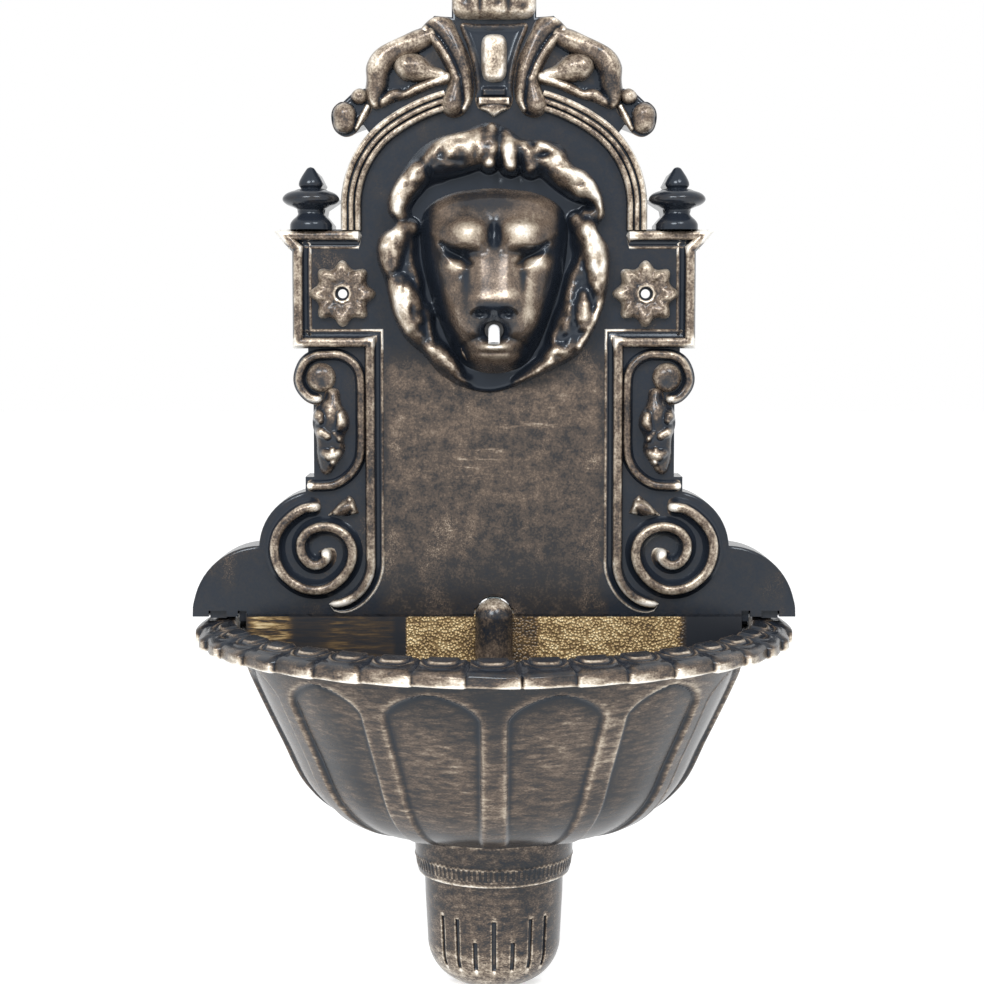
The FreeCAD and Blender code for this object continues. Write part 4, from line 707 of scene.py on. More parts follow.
def makeRosettes():
    shape = rosetteShape
    turn = np.linspace(0, 2 * math.pi, 241)
    wave = 0.5 + 0.5 * np.cos(shape["tips"] * turn)
    ripple = 0.5 + 0.5 * np.cos(shape["tips"] * turn + 0.6 * np.sin(3 * turn))
    reach = shape["waist"] + (shape["tip"] - shape["waist"]) * wave**1.2
    rows = []
    for t in np.linspace(0, 1, 30):
        r = shape["bore"] + (reach - shape["bore"]) * t
        dish = shape["rim"] + (shape["crown"] - shape["rim"]) * smoothStep(t, 0.12, 0.62)
        dish += 1.0 * math.exp(-((t - 0.06) / 0.06)**2)
        roll = np.sqrt(np.clip(1 - np.clip((t - 0.66) / 0.34, 0, 1)**2, 0, 1))
        petal = 1 - (0.2 * (1 - ripple)**2.0 + 0.05 * np.sin(5 * turn + 1)) * smoothStep(t, 0.2, 0.7)
        h = dish * roll * petal
        rows.append(np.stack([-screwX + r * np.sin(turn), faceY - h - 0.15, r * np.cos(turn)], 1))
    lip, edge, foot = rows[0].copy(), rows[0].copy(), rows[-1].copy()
    lip[:, 1] = faceY + sunk
    foot[:, 1] = faceY + sunk
    edge[:, 1] += 0.6
    bm = gridMesh(np.array([lip, edge] + rows + [foot]))
    bmesh.ops.remove_doubles(bm, verts=bm.verts, dist=0.01)
    bronze = agedBronze("rosetteBronze", field=0.12, patches=0.4, speckle=0.4)
    makePair("rosette", bm, bronze, "rosette", (20, 0.34, 0.22))


makeRosettes()

# Arch band: three beads side by side along an arch with a wide crown and rounded shoulders
archShape = {
    "half": 92.0, "spring": 60.0, "crown": 130.0, "sideRadius": 60.0, "band": 13.5, "end": 31.5, "foot": 43.6,
    "beads": [(-4.7, 2.0, 7.4, 4.6), (-0.3, 1.9, 8.0, 5.0), (4.5, 2.3, 8.6, 5.0)],  # middle, half, top, floor
}


# Left half of the arch line moved outward, from its foot to the crown
def archLine(offset):
    step = 2.0
    a = archShape
    rise = a["crown"] - a["spring"]
    sideX = a["half"] - a["sideRadius"]
    crownR = (sideX**2 + rise**2 - a["sideRadius"]**2) / (2 * (rise - a["sideRadius"]))
    crownZ = a["crown"] - crownR
    joint = math.atan2(a["spring"] - crownZ, sideX)
    half = a["half"] + offset
    line = [(-half, a["foot"]), (-half, (a["foot"] + a["spring"]) / 2)]
    r = a["sideRadius"] + offset
    for t in np.linspace(0, joint, int(r * joint / step)):
        line.append((-sideX - r * math.cos(t), a["spring"] + r * math.sin(t)))
    r = crownR + offset
    for t in np.linspace(joint, math.pi / 2, int(r * (math.pi / 2 - joint) / step))[1:]:
        line.append((-r * math.cos(t), crownZ + r * math.sin(t)))
    return np.array(line)


def makeArchBands():
    a = archShape
    middle = archLine(a["band"] / 2)
    middle = middle[middle[:, 0] <= -a["end"]]
    section = [(-7.6, -0.3), (-7.0, 2.0)]
    for centre, half, rise, floor in a["beads"]:
        for t in np.linspace(-1, 1, 9):
            section.append((centre + half * t, floor + (rise - floor) * math.sqrt(max(0, 1 - t * t))))
    section += [(6.85, 2.4), (6.9, -0.3)]
    makePair("archBand", sweepMesh(middle, section), ridgeBronze, "arch_moulding", (5, 1.5, 0.2))


makeArchBands()
print("arch and rosettes made")

# Turned finials, as radius and height, x from the middle
finialShape = {
    "x": 126.5,
    "profile": [
        (0.0, 87.0), (2.2, 86.2), (4.2, 83.6), (6.4, 80.2), (8.0, 76.8), (8.2, 74.2), (7.0, 72.6),
        (7.4, 71.7), (11.5, 70.8), (16.5, 69.0), (19.2, 66.4), (19.3, 63.8), (16.5, 61.2), (12.0, 59.4),
        (9.4, 58.0), (8.6, 56.0), (9.6, 53.6), (12.4, 51.0), (14.2, 48.4), (14.5, 46.0), (14.5, 44.0)],
}


def makeFinials():
    bm = turnedMesh(smoothLine(finialShape["profile"], 0.8), np.linspace(-90, 90, 49))
    bmesh.ops.translate(bm, vec=(-finialShape["x"], faceY, 0), verts=bm.verts)
    bmesh.ops.remove_doubles(bm, verts=bm.verts, dist=0.01)
    bronze = agedBronze("finialBronze", patches=0.3, speckle=0.4)
    makePair("finial", bm, bronze, "finial", (16, 0.22, -0.05))


makeFinials()

# Crest: its cap with a cleft on each side and some dents, the stone, and the right half of the shield
crestShape = {
    "cap": [
        (0, 209.7), (12, 209.6), (23, 209.3), (28.2, 206.5), (28.9, 199), (27.5, 191), (22, 187.6),
        (12, 187.1), (0, 187), (-12, 187.1), (-22, 187.6), (-27.5, 191), (-28.9, 199), (-28.2, 206.5),
        (-23, 209.3), (-12, 209.6)],
    "capMiddle": 198.5, "capHeight": 15.0, "cleft": 2.2,
    "capDents": [(-19, 200, 3, 4, 1.6), (3, 197, 3, 3, 1.5), (20, 195, 4, 3, 1.4), (-4, 204, 4, 2, 1.2)],
    "stone": [
        (0, 177), (6, 175.8), (8.6, 171), (8.8, 161), (8.4, 151), (5.8, 145.9), (0, 144.5), (-5.8, 145.9),
        (-8.4, 151), (-8.8, 161), (-8.6, 171), (-6, 175.8)],
    "stoneMiddle": 160.7, "stoneHeight": 11.0,
    "shield": [
        (0.0, 184.0), (12, 184), (23.0, 183.6), (18.4, 169), (14.6, 156.0), (12.8, 143.0), (13.0, 133.0),
        (10.8, 127.0), (5.5, 124.6), (2.2, 122.4), (0.0, 121.0)],
}
# Strap: a broad band and a narrow one with a groove between, ending in a round foot
crestStrap = {
    "edge": [
        (-30, 187.5), (-40.5, 188.5), (-47.5, 184), (-50, 178.5), (-43.5, 171), (-37, 160.5), (-32.4, 150.5),
        (-31.8, 143), (-34.5, 136.5), (-37, 129.5), (-34, 123), (-28, 120.6), (-21.5, 122.4), (-17.6, 127),
        (-14.5, 134), (-13.6, 146), (-15.5, 158), (-20.0, 169), (-24.5, 178)],
    "strokes": [
        [(-39, 184.5, 7.5, 8.5), (-32.5, 178, 7.8, 10), (-26, 166, 6.6, 11), (-21.2, 153, 5.4, 11),
         (-19, 141, 4.4, 10.5), (-18.6, 132, 3.6, 9.5), (-20.5, 126.5, 3.0, 8.5)],
        [(-47, 178.6, 4.8, 9), (-40.8, 173, 4.2, 10), (-33.8, 164, 3.9, 10.5), (-28.6, 154.6, 3.8, 10.5),
         (-25.4, 146, 4.2, 10.5)],
        [(-25.4, 146, 5.2, 10), (-26.6, 139, 6.4, 10.5), (-28.6, 130.6, 8.6, 12.5),
         (-28.8, 129.8, 8.6, 12.5)]],
    "floor": 3.2, "blend": 2.4, "mesh": (0.6, 0.35, 2),
}
# Leaf: a thick rolled edge round a hollow, with an egg-shaped knob in it
crestLeaf = {
    "edge": [
        (-43, 182), (-51.5, 181), (-63, 175.6), (-80.4, 166.6), (-87.4, 156.5), (-87.6, 146), (-88.4, 135.5),
        (-82, 126.5), (-70, 130.6), (-57, 134.6), (-41, 141.6), (-30.2, 144.5), (-29.4, 156), (-36, 170)],
    "strokes": [
        [(-42.5, 176.8, 5.5, 9), (-51, 173.2, 7.6, 12), (-62, 168.6, 8.4, 13.5), (-73.5, 162.6, 9, 14),
         (-79.6, 154, 8.8, 14), (-80.6, 144, 7.8, 12.5), (-82, 136, 6.4, 11), (-82.3, 130, 4.6, 8)],
        [(-76, 131.5, 4.4, 8.5), (-69, 136.0, 4.2, 7.5), (-61, 136.2, 3.6, 6.5), (-53.5, 139.8, 3.6, 7),
         (-42.5, 144, 4.0, 8.5), (-33, 147.6, 4.4, 9)]],
    "floor": 0.9, "blend": 1.2, "mesh": (0.7, 0.4, 2),
    "rubAndLight": [(80, 157, 7, 8, 0.3), (60, 170, 12, 5, 0.24), (36, 147, 8, 5, 0.2)],
}
leafKnob = {
    "edge": [
        (-69, 154), (-66.5, 162.5), (-57, 165.6), (-46.5, 161.5), (-41.5, 156), (-35.5, 153.5),
        (-31.5, 149.5), (-35, 145.6), (-44, 145), (-52, 143.6), (-62, 145.6)],
    "strokes": [
        [(-60, 155, 9.6, 14), (-54, 154.2, 9.4, 13.5), (-45, 150.8, 6.0, 10.5), (-36.5, 149.0, 5, 9.5)]],
    "floor": 1.0, "blend": 1.2, "mesh": (0.7, 0.3, 2),
}
berries = {
    "edge": [
        (-112, 119.5), (-111, 126.5), (-106, 131.2), (-99.5, 131.6), (-98, 137), (-92.6, 140.6),
        (-87.0, 137.5), (-87.4, 131), (-84, 126.5), (-90, 117), (-96, 109.5), (-103, 107.6),
        (-109.5, 111.8)],
    "strokes": [
        [(-102.8, 122.5, 8.2, 10.5), (-102.6, 117.4, 8.0, 10.5)], [(-92.7, 135.0, 5.6, 8),
         (-92.3, 135, 5.6, 8)],
        [(-86.8, 128, 2.2, 6), (-91, 120, 2.6, 7), (-94.5, 113.5, 2.2, 5)]],
    "floor": 0.8, "blend": 1.2, "mesh": (0.6, 0.3, 1.2),
}


# Rubbed bronze with painted highlights on the leaf's rolled edge
def leafRubAndLight(places):
    return spotSum(np.abs(places[:, 0]), places[:, 2], crestLeaf["rubAndLight"])


def ledgeDust(places):
    return 0.34 * smoothStep(-places[:, 2], -134.8, -133.6)


def makeCrest():
    c = crestShape
    bronze = agedBronze("crestBronze", field=0.05, patches=0.4, speckle=0.42)

    def cushion(p):
        x, z = p[:, 0], (p[:, 1] - c["capMiddle"]) / 12.5
        body = c["capHeight"] * np.clip(1 - z**2, 0.05, 1)**0.4
        cleft = c["cleft"] * np.exp(-((np.abs(x) - 9.7) / 2.0)**2) * np.clip(1 - z**2 * 0.6, 0, 1)
        dents = spotSum(x, p[:, 1], c["capDents"])
        return np.clip(body - cleft - dents - 0.006 * x**2, 1, c["capHeight"])

    def stone(p):
        away = np.abs(p[:, 0] / 9.4)**3 + np.abs((p[:, 1] - c["stoneMiddle"]) / 17)**5
        return c["stoneHeight"] * np.clip(1 - away, 0.03, 1)**0.5

    bm = reliefMesh(smoothLine(c["cap"], 1, True), cushion, 0.9, 0.3, 4.5)
    addRelief("crestCap", bm, bronze, "crest_cap", (24, 0.34, 0.22))
    bm = reliefMesh(smoothLine(c["stone"], 0.8, True), stone, 0.8, 0.4, 2.5)
    addRelief("crestStone", bm, bronze, "cabochon", (24, 0.3, 0.46))
    edge = smoothLine(mirrorRight(c["shield"]), 1, True)

    # Shield: a hollow plate with a raised line near its edge, and the ledge under the stone
    def shield(p):
        x, z = np.abs(p[:, 0]), p[:, 1]
        line = 1.6 * np.exp(-((nearestOn(p, edge)[0] - 2.2) / 2.0)**2) * smoothStep(z, 134, 141)
        ledge = 5.0 * np.clip(1 - ((z - 131.6) / 3.0)**4, 0, 1)**0.5 * smoothStep(11.5 - x, 0, 1.5)
        neck = 2.2 * smoothStep(z, 134.5, 136) * smoothStep(-z, -142, -139) * smoothStep(9.5 - x, 0, 3)
        tuft = 4.4 * np.clip(1 - (x / 9.5)**2 - ((z - 127.4) / 6.6)**2, 0, 1)**0.5
        return 1.4 + line + np.maximum(np.maximum(ledge, neck), tuft)

    bm = reliefMesh(edge, shield, 0.6, 0.5, 1)
    addRelief("crestShield", bm, bronze, "crest_shield", (14, 0.5, -0.05, ledgeDust))
    for name, shape, gap, node, wearAndLight in (
            ("crestStrap", crestStrap, 0.9, "crest_strap", (24, 0.34, 0.14)),
            ("crestLeaf", crestLeaf, 0.9, "crest_leaf", (34, 0.26, 0.06, leafRubAndLight)),
            ("leafKnob", leafKnob, 0.9, "leaf_knob", (26, 0.3, 0.2)),
            ("berries", berries, 0.8, "berries", (24, 0.36, 0.14))):
        makePair(name, strokedMesh(shape, smoothLine(shape["edge"], gap, True)), bronze, node, wearAndLight)


makeCrest()
print("crest made")

# Lion mask. A lock of the mane is x, z, half width and height along its line, from root to tip. Dents, and
# the rubbed bronze with its painted highlights and painted shade, are soft spots as for spotSum
lionMane = {
    "edge": [
        (-4.0, 117.5), (-19.5, 112.0), (-40.5, 106.0), (-54.5, 95.5), (-70.5, 72.5), (-73.5, 57.5),
        (-68.5, 48.0), (-79.5, 38.5), (-81.0, 24.5), (-75.5, 8.0), (-70.5, -13.0), (-61.5, -31.0),
        (-48.5, -43.0), (-37.5, -55.5), (-22.0, -64.5), (-4.0, -68.5), (14.0, -64.5), (37.0, -54.5),
        (57.5, -43.0), (68.0, -27.5), (77.0, -5.5), (80.0, 18.5), (79.0, 32.0), (71.5, 45.0), (76.5, 55.0),
        (72.5, 72.5), (64.5, 83.0), (53.5, 89.0), (48.0, 100.5), (36.5, 105.0), (20.0, 106.0),
        (10.0, 113.0),
    ],
    "locks": [
        [(-34, 94, 8, 24), (-22, 97, 9, 26), (-6, 98, 9.5, 26.5), (9, 97, 9, 26), (24, 94, 8, 25),
         (38, 89, 7, 24)],
        [(-1.5, 114, 4, 17), (-2.5, 106, 7, 24), (-3, 97, 7, 27), (-3.5, 89, 5, 25)],
        [(-7, 103, 10, 24), (-18, 99, 12, 28), (-31, 95, 12, 28.5), (-41, 89, 8.5, 25)],
        [(7.5, 106, 5.5, 20), (10, 98, 6.6, 27.5), (11.5, 88, 6.2, 26)],
        [(21, 101, 5, 19), (24, 94, 7, 26), (25.5, 86.5, 6, 25)],
        [(31, 98, 7, 22), (39, 90.5, 9, 27), (49.5, 82, 9.5, 29), (60.5, 74, 9, 28), (69.5, 65.5, 6, 24),
         (73.5, 57.5, 4.2, 18), (73, 51, 3, 13)],
        [(-47, 87, 5.5, 19), (-55, 79.5, 8, 26), (-62.5, 70.5, 8, 28), (-66.3, 60.5, 6.8, 25),
         (-63.5, 52.5, 5, 19), (-60, 48.5, 3, 13)],
        [(-58.5, 44.5, 6, 19), (-65, 40.5, 8.5, 25), (-69.5, 31.5, 9.5, 27), (-70.5, 22, 8.5, 25.5),
         (-69, 13.5, 6, 20)],
        [(-68, 13, 5.5, 19), (-64, 4, 9, 26), (-60, -8.5, 9.8, 28), (-56, -20.5, 8.6, 25),
         (-50.5, -30.5, 5.5, 17)],
        [(-45.5, -35, 5.5, 16), (-37, -42.5, 6, 19), (-28.5, -51, 5, 16), (-21.5, -60, 3, 9)],
        [(57, 50, 5, 18), (63, 43, 7.5, 25), (68.5, 31, 8.5, 28), (70.8, 17, 8, 27), (70.8, 4, 6, 22),
         (69.5, -4, 4, 16)],
        [(61, -1, 5, 20), (60.5, -10, 7, 25), (62, -20, 6.5, 22), (59.5, -28, 5, 16)],
        [(54, 12, 3.5, 13), (53, 0, 4.5, 18), (51.5, -13, 5.5, 20), (49, -25, 5, 18), (45, -34, 3.5, 13)],
        [(73.5, -2, 4, 16), (71, -14, 6, 21), (66.5, -25, 6, 20), (59, -35, 5, 17)],
        [(54, -33, 5, 17), (44.5, -40, 6.5, 20), (36, -48.5, 5.5, 18), (25.5, -55.5, 4.5, 14),
         (15, -61.5, 3, 9)],
    ],
    "dents": [
        (3.4, 91, 1.9, 8, 7), (17.5, 89, 1.7, 7, 5), (26, 101, 4, 2.4, 3), (33, 93, 5, 1.8, 4),
        (-44, 84, 2.2, 5, 4), (36, 95, 5, 2.6, 7), (61, 60.5, 6.5, 3.2, 13), (-35, 94.5, 3.4, 4.5, 2.6),
        (-22, 104, 5, 2.4, 2.2), (-13, 96, 1.6, 8, 2.2), (-27, 90, 5, 2.2, 2), (11.5, 91, 2.2, 2.6, 1.8),
        (-60, 74, 2.4, 5, 2), (-71, 27, 1.6, 6, 1.8), (-61, 2, 1.6, 7, 1.8), (-56, -12, 2.2, 6, 2),
        (66, 33, 1.5, 8, 2.2), (72, 20, 1.6, 7, 2.2), (48, 86, 6, 1.6, 2.2), (57, 73, 6, 1.8, 2),
        (60, -13, 1.6, 5, 1.8), (44, -43, 5, 1.5, 1.8), (-37, -46, 4, 1.5, 1.6),
    ],
    # Rubbed bronze and painted light: the bright spots on the crests of the locks are painted highlights as
    # well as bronze, and the dark bands under the top locks and under the chin are painted shade
    "rubAndLight": [
        (-33, 97, 9, 5, 0.4), (-21, 101, 8, 6, 0.3), (-11, 97, 5, 9, 0.36), (10.5, 97, 4, 9, 0.46),
        (31, 97, 8, 4, 0.36), (40, 90, 6, 5, 0.3), (53, 80, 10, 6, 0.42), (-64, 67, 6, 9, 0.4),
        (-52, 82, 6, 5, 0.2), (-71, 31, 6, 9, 0.4), (-63, -6, 6, 12, 0.4), (68, 24, 6, 16, 0.44),
        (63, -14, 4, 8, 0.36), (47, -41, 8, 4, 0.3), (-36, -44, 6, 4, 0.3), (70, 62, 4, 5, 0.3),
        (-32, 83, 16, 3.4, -0.4), (30, 82, 16, 3.4, -0.4), (0, 83, 14, 3.4, -0.3), (0, -60, 26, 8, -0.4),
    ],
}
# The face's height over the panel: the first number of a row is its place z, and the others belong to the
# distances from the middle in columns. A line is the height that it adds, and x, z and half width along it
lionFace = {
    "edge": [
        (0.0, 72.5), (14.0, 71.5), (26.7, 69.8), (39.0, 65.0), (48.0, 57.5), (51.5, 46.0), (51.0, 28.0),
        (48.0, 11.0), (43.0, -6.0), (37.5, -22.0), (30.5, -38.0), (20.5, -50.5), (0.0, -56.0),
    ],
    "columns": [0, 5, 10, 15, 20, 26, 32, 38, 44, 50],
    "rows": [
        (72, 16, 16, 16, 15, 14, 13, 12, 11, 10, 7),
        (66, 22, 22, 22, 21, 20, 19, 17, 15, 12, 7),
        (58, 27, 27, 27, 27, 26, 24.5, 22.5, 19.5, 15, 8),
        (50, 30, 31, 33.5, 35.5, 35, 32, 28, 23, 17, 8.5),
        (45, 31.5, 34.5, 40, 43.5, 43, 38.5, 32, 25.5, 18, 9),
        (38, 33, 36.5, 43, 46, 45.5, 41.5, 34.5, 27.5, 19, 9),
        (32, 36, 38, 41.5, 42.5, 41, 38, 33.5, 27.5, 19, 9),
        (27, 38.8, 38.8, 38.2, 35.4, 31, 30, 29, 25.5, 18, 8.5),
        (22, 41.0, 40.8, 39.8, 36.6, 31.6, 29.5, 29.5, 25.5, 17, 8),
        (16, 43.4, 43.1, 41.9, 38.6, 34.2, 33.6, 31, 25, 16, 7),
        (8, 46.6, 46.3, 45.0, 41.8, 37.2, 34.5, 30, 23, 13.5, 6),
        (0, 49.8, 49.5, 48.4, 45.4, 40.4, 35.5, 29.5, 21, 11, 4.5),
        (-5, 51.0, 50.8, 49.8, 47.0, 42.2, 36.2, 28.5, 19, 9.5, 4),
        (-10, 49.0, 49.0, 48.4, 46.4, 42.8, 36.6, 27, 16.5, 8, 3.5),
        (-15, 44.0, 44.0, 44.2, 43.8, 41.6, 35.8, 25, 14, 6, 3.5),
        (-20, 40, 40, 41.4, 42, 40, 33, 21.5, 11, 5, 3),
        (-26, 38, 38, 39.6, 40, 36.6, 27.5, 16, 8, 4, 3),
        (-32, 37, 37, 36.8, 34.6, 29, 19.5, 10.5, 5.5, 3, 3),
        (-37, 39, 38.5, 35.5, 29.5, 21.5, 13, 7, 4, 3, 3),
        (-43, 36, 35, 31, 23.5, 15, 9, 5, 3, 3, 3),
        (-49, 24, 22.5, 18.5, 13, 9, 6, 4, 3, 3, 3),
        (-56, 6, 6, 6, 5, 5, 4, 3, 3, 3, 3),
    ],
    "lines": [  # eye, lower lid, brow, mouth
        (-3.9, [(16, 20.0, 2.0), (21, 23.2, 2.8), (26, 26.6, 2.9), (31, 30.0, 2.4), (36, 33.6, 1.5)]),
        (2.4, [(20, 16.4, 2.6), (25, 19.0, 3.6), (30, 22.0, 3.6), (35, 26.0, 2.4)]),
        (0.9, [(12, 32.6, 2.6), (20, 31.6, 3.4), (28, 33.0, 3.4), (36, 37, 3.0), (42, 40.5, 2.4)]),
        (-1.6, [(8, -29.5, 1.4), (14, -31.0, 1.8), (19, -33.6, 1.8), (22, -37, 1.4)]),
    ],
    "mouthZ": -25, "mouthHole": 5.2, "mouthLip": 6.2, "mouthReach": 9, "mouthDepth": 16,
    # Rubbed bronze and painted light: the bright spots on the brows, bridge, nose, lower lids, cheeks, muzzle
    # pads, chin and top edge are painted highlights as well as bronze; the dark spots in the furrow, the eye
    # slits and the band above them, on the nose pad, in the mouth, beside the bridge and on the sides are
    # painted shade, and the forehead is given darker
    "rubAndLight": [
        (-17, 40, 9.5, 6.5, 0.44), (18.5, 41, 10, 7, 0.5), (-26, 55, 13, 7, 0.08), (27, 57, 15, 8, 0.12),
        (2, 12, 13, 15, 0.14), (8, -1.5, 9, 3.4, 0.3), (-6, -2.5, 8, 3.0, 0.18), (-27, 18.0, 6, 3.4, 0.4),
        (30, 20.5, 7.5, 4.2, 0.46), (24, 1, 4.5, 12, 0.28), (-26, 2, 6, 10, 0.12), (23, -15, 7, 7, 0.34),
        (-22, -15, 8, 7, 0.16), (0, -36, 8.5, 2.6, 0.55), (0, -42.5, 14, 2.4, 0.16),
        (0.5, 39, 4.2, 8, -0.75), (-25, 26.4, 9.0, 2.8, -0.6), (28, 28.8, 10.5, 3.2, -0.6),
        (0, -12, 15.5, 5.6, -0.5), (0, -25.5, 10.5, 6.5, -0.75), (-18.6, 10, 2.2, 13, -0.3),
        (19.6, 10, 2.2, 13, -0.3), (0, 72, 30, 1.6, 0.14), (-3, 63, 36, 8, -0.2), (-30, 33, 9, 4, -0.16),
        (34, 36, 8, 4, -0.16), (-38, 10, 8, 20, -0.12), (38, 10, 8, 20, -0.1),
    ],
}


# Rubbed bronze with painted highlights and painted shade from the spots, and painted shade toward the face's
# sides, where it falls away
def faceRubAndLight(places):
    x, z = places[:, 0], places[:, 2]
    half = np.interp(z, [-50, -38, -22, -6, 12, 30, 60], [14, 19, 27, 33, 38, 41, 42])
    return spotSum(x, z, lionFace["rubAndLight"]) - 0.4 * smoothStep(np.abs(x), half - 4, half + 7)


# Rubbed bronze with painted highlights and painted shade on the mane
def maneRubAndLight(places):
    return spotSum(places[:, 0], places[:, 2], lionMane["rubAndLight"])


# Where places lie between knots: the knot before, the way along to the next, and the span between both
def betweenKnots(knots, at):
    k = np.clip(np.searchsorted(knots, at) - 1, 0, len(knots) - 2)
    span = knots[k + 1] - knots[k]
    return k, np.clip((at - knots[k]) / span, 0, 1), span


# A soft ridge of height 1 along a line of x, z and half width
def softStroke(points, stroke):
    height = np.zeros(len(points))
    for x, z, half in smoothLine(stroke):
        height = np.maximum(height, np.exp(-((points[:, 0] - x)**2 + (points[:, 1] - z)**2) / half**2))
    return height


# The table of heights, smoothed down its rows and then across its columns
def tableHeight(x, z):
    table = np.array(sorted(lionFace["rows"]))
    levels, values = table[:, 0], table[:, 1:]
    slope = np.gradient(values, levels, axis=0)
    k, t, span = betweenKnots(levels, z)
    t, span = t[:, None], span[:, None]
    across = smoothWay(t, values[k], values[k + 1], span * slope[k], span * slope[k + 1])
    mirrored = np.hstack([across[:, 1:2], across])
    columns = np.array([-5.0] + lionFace["columns"])
    slope = np.gradient(mirrored, columns, axis=1)
    k, t, span = betweenKnots(columns, x)
    n = np.arange(len(x))
    return smoothWay(t, mirrored[n, k], mirrored[n, k + 1], span * slope[n, k], span * slope[n, k + 1])


def faceHeight(points):
    x, z = np.abs(points[:, 0]), points[:, 1]
    height = tableHeight(x, z)
    for amount, line in lionFace["lines"]:
        height += amount * softStroke(np.stack([x, z], 1), line)
    height -= 3.6 * np.exp(-(x / 4.2)**2) * np.exp(-((z - 39) / 8)**4)  # furrow between the brows
    # Nose pad: its wings, nostrils and the crease down to the lip
    height += 2.2 * hump(x, z, 14.6, -11, 3.0, 4.2)
    height -= 4.8 * hump(x, z, 9.6, -13.6, 4.2, 2.6)
    height -= 1.4 * np.exp(-(x / 1.3)**2) * smoothStep(-z, 12, 16) * smoothStep(z, -24, -19)
    # Mouth hollow round the spout, lower lip and chin
    height -= 6.0 * np.exp(-((x / 9.2)**2 + ((z + 25.6) / 6.8)**2)**2)
    height += 2.8 * np.exp(-(x / 9.0)**4) * np.exp(-((z + 36.0) / 2.7)**2)
    height -= 1.3 * np.exp(-(x / 14)**4) * np.exp(-((z + 40.2) / 1.4)**2)
    return height


# Broad rubbed patches on the proud parts of the locks, bare flanks
def maneField(tree, place):
    axes = addNode(tree, "ShaderNodeSeparateXYZ", {0: place})
    proud = rampNumbers(tree, axes.outputs[1], -0.064, -0.05, 0.24, 0.0)
    broad = noiseAt(tree, place, 50.0, (1, 0.4, 1), 2.0, 0.5)
    return doMath(tree, "MULTIPLY", proud, rampNumbers(tree, broad, 0.4, 0.62, 0.0, 1.35))


# Locks over a bed that dips round the face and under the chin, and stays low beside the rosettes
def maneHeight(points, maneLine, faceLine):
    x, z = points[:, 0], points[:, 1]
    fromEdge, fromFace = nearestOn(points, maneLine)[0], nearestOn(points, faceLine)[0]
    broad = np.array([noise.noise((a / 13, b / 13, 0.5)) for a, b in points])
    fine = np.array([noise.noise((a / 5, b / 5, 7.5)) for a, b in points])
    gap = 1 - smoothStep(-z, 42, 56) * (1 - smoothStep(np.abs(x), 12, 24))
    moat = np.interp(z, [40, 62], [1.5, 10.0]) + 4 * broad
    height = 4.0 + 12.0 * gap * smoothStep(fromEdge, -1.0, 8.0) * smoothStep(fromFace - moat, 0.0, 6.0)
    for lock in lionMane["locks"]:
        wider = [(a, b, half * 1.3, rise) for a, b, half, rise in lock]
        height = softMax(height, strokeHeight(points, wider), 4.0)
    height += (2.6 * broad + 1.7 * fine) * smoothStep(height, 8, 18)
    height -= spotSum(x, z, lionMane["dents"])
    for middle in (-screwX, screwX):
        height = np.where(np.hypot(x - middle, z) < 24, np.minimum(height, 3), height)
    return np.maximum(height, 3.5)


# Opens the mouth round the spout and turns its lip inward
def openMouth(bm):
    face = lionFace

    def fromMouth(v):
        return math.hypot(v.co.x, v.co.z - face["mouthZ"])

    mouth = [v for v in bm.verts if fromMouth(v) < face["mouthHole"]]
    bmesh.ops.delete(bm, geom=mouth, context="VERTS")
    lip = {v for e in bm.edges if e.is_boundary for v in e.verts if fromMouth(v) < face["mouthReach"]}
    for v in lip:
        grow = face["mouthLip"] / fromMouth(v)
        v.co.x *= grow
        v.co.z = face["mouthZ"] + (v.co.z - face["mouthZ"]) * grow
    edges = [e for e in bm.edges if e.is_boundary and all(fromMouth(v) < face["mouthReach"] for v in e.verts)]
    made = bmesh.ops.extrude_edge_only(bm, edges=edges)["geom"]
    for v in (g for g in made if isinstance(g, bmesh.types.BMVert)):
        v.co.y += face["mouthDepth"]


def makeLion():
    maneLine = smoothLine(lionMane["edge"], 1.2, True)
    faceLine = smoothLine(mirrorRight(lionFace["edge"]), 1.2, True)
    bm = reliefMesh(maneLine, lambda points: maneHeight(points, maneLine, faceLine), 0.95, 0.12, 4)
    for _ in range(2):
        bmesh.ops.smooth_vert(bm, verts=bm.verts, factor=0.5, use_axis_y=True)
    bronze = agedBronze("maneBronze", patches=0.3, speckle=0.34, fieldMask=maneField)
    addRelief("lionMane", bm, bronze, "lion_mane", (40, 0.2, 0.0, maneRubAndLight), 70)
    bm = reliefMesh(faceLine, faceHeight, 0.75, 0.1, 9)
    openMouth(bm)
    bronze = agedBronze("faceBronze", patches=0.3, speckle=0.24)
    addRelief("lionFace", bm, bronze, "lion_face", (30, 0.14, 0.26, faceRubAndLight), 70)


makeLion()
print("lion mask made")

# Bowl: its wall outside and inside, the flange and lip between both, and the sunk petals
bowlShape = {
    "outer": [(62, -385), (108, -372), (136, -349), (154, -314), (174, -271), (182.7, -247)],
    "lip": [(196, -247), (196, -244), (183, -244), (182.7, -236), (178.2, -236), (178.2, -246)],
    "inner": [
        (177.4, -247), (169.3, -269), (149.3, -312), (132, -346), (106, -367.3), (76, -374.6), (56, -375)],
    "petals": 6, "pitch": 27.5, "depth": 3.6, "rib": 13.6, "footRib": 7.0, "top": -256.0, "shoulder": -275.5,
}


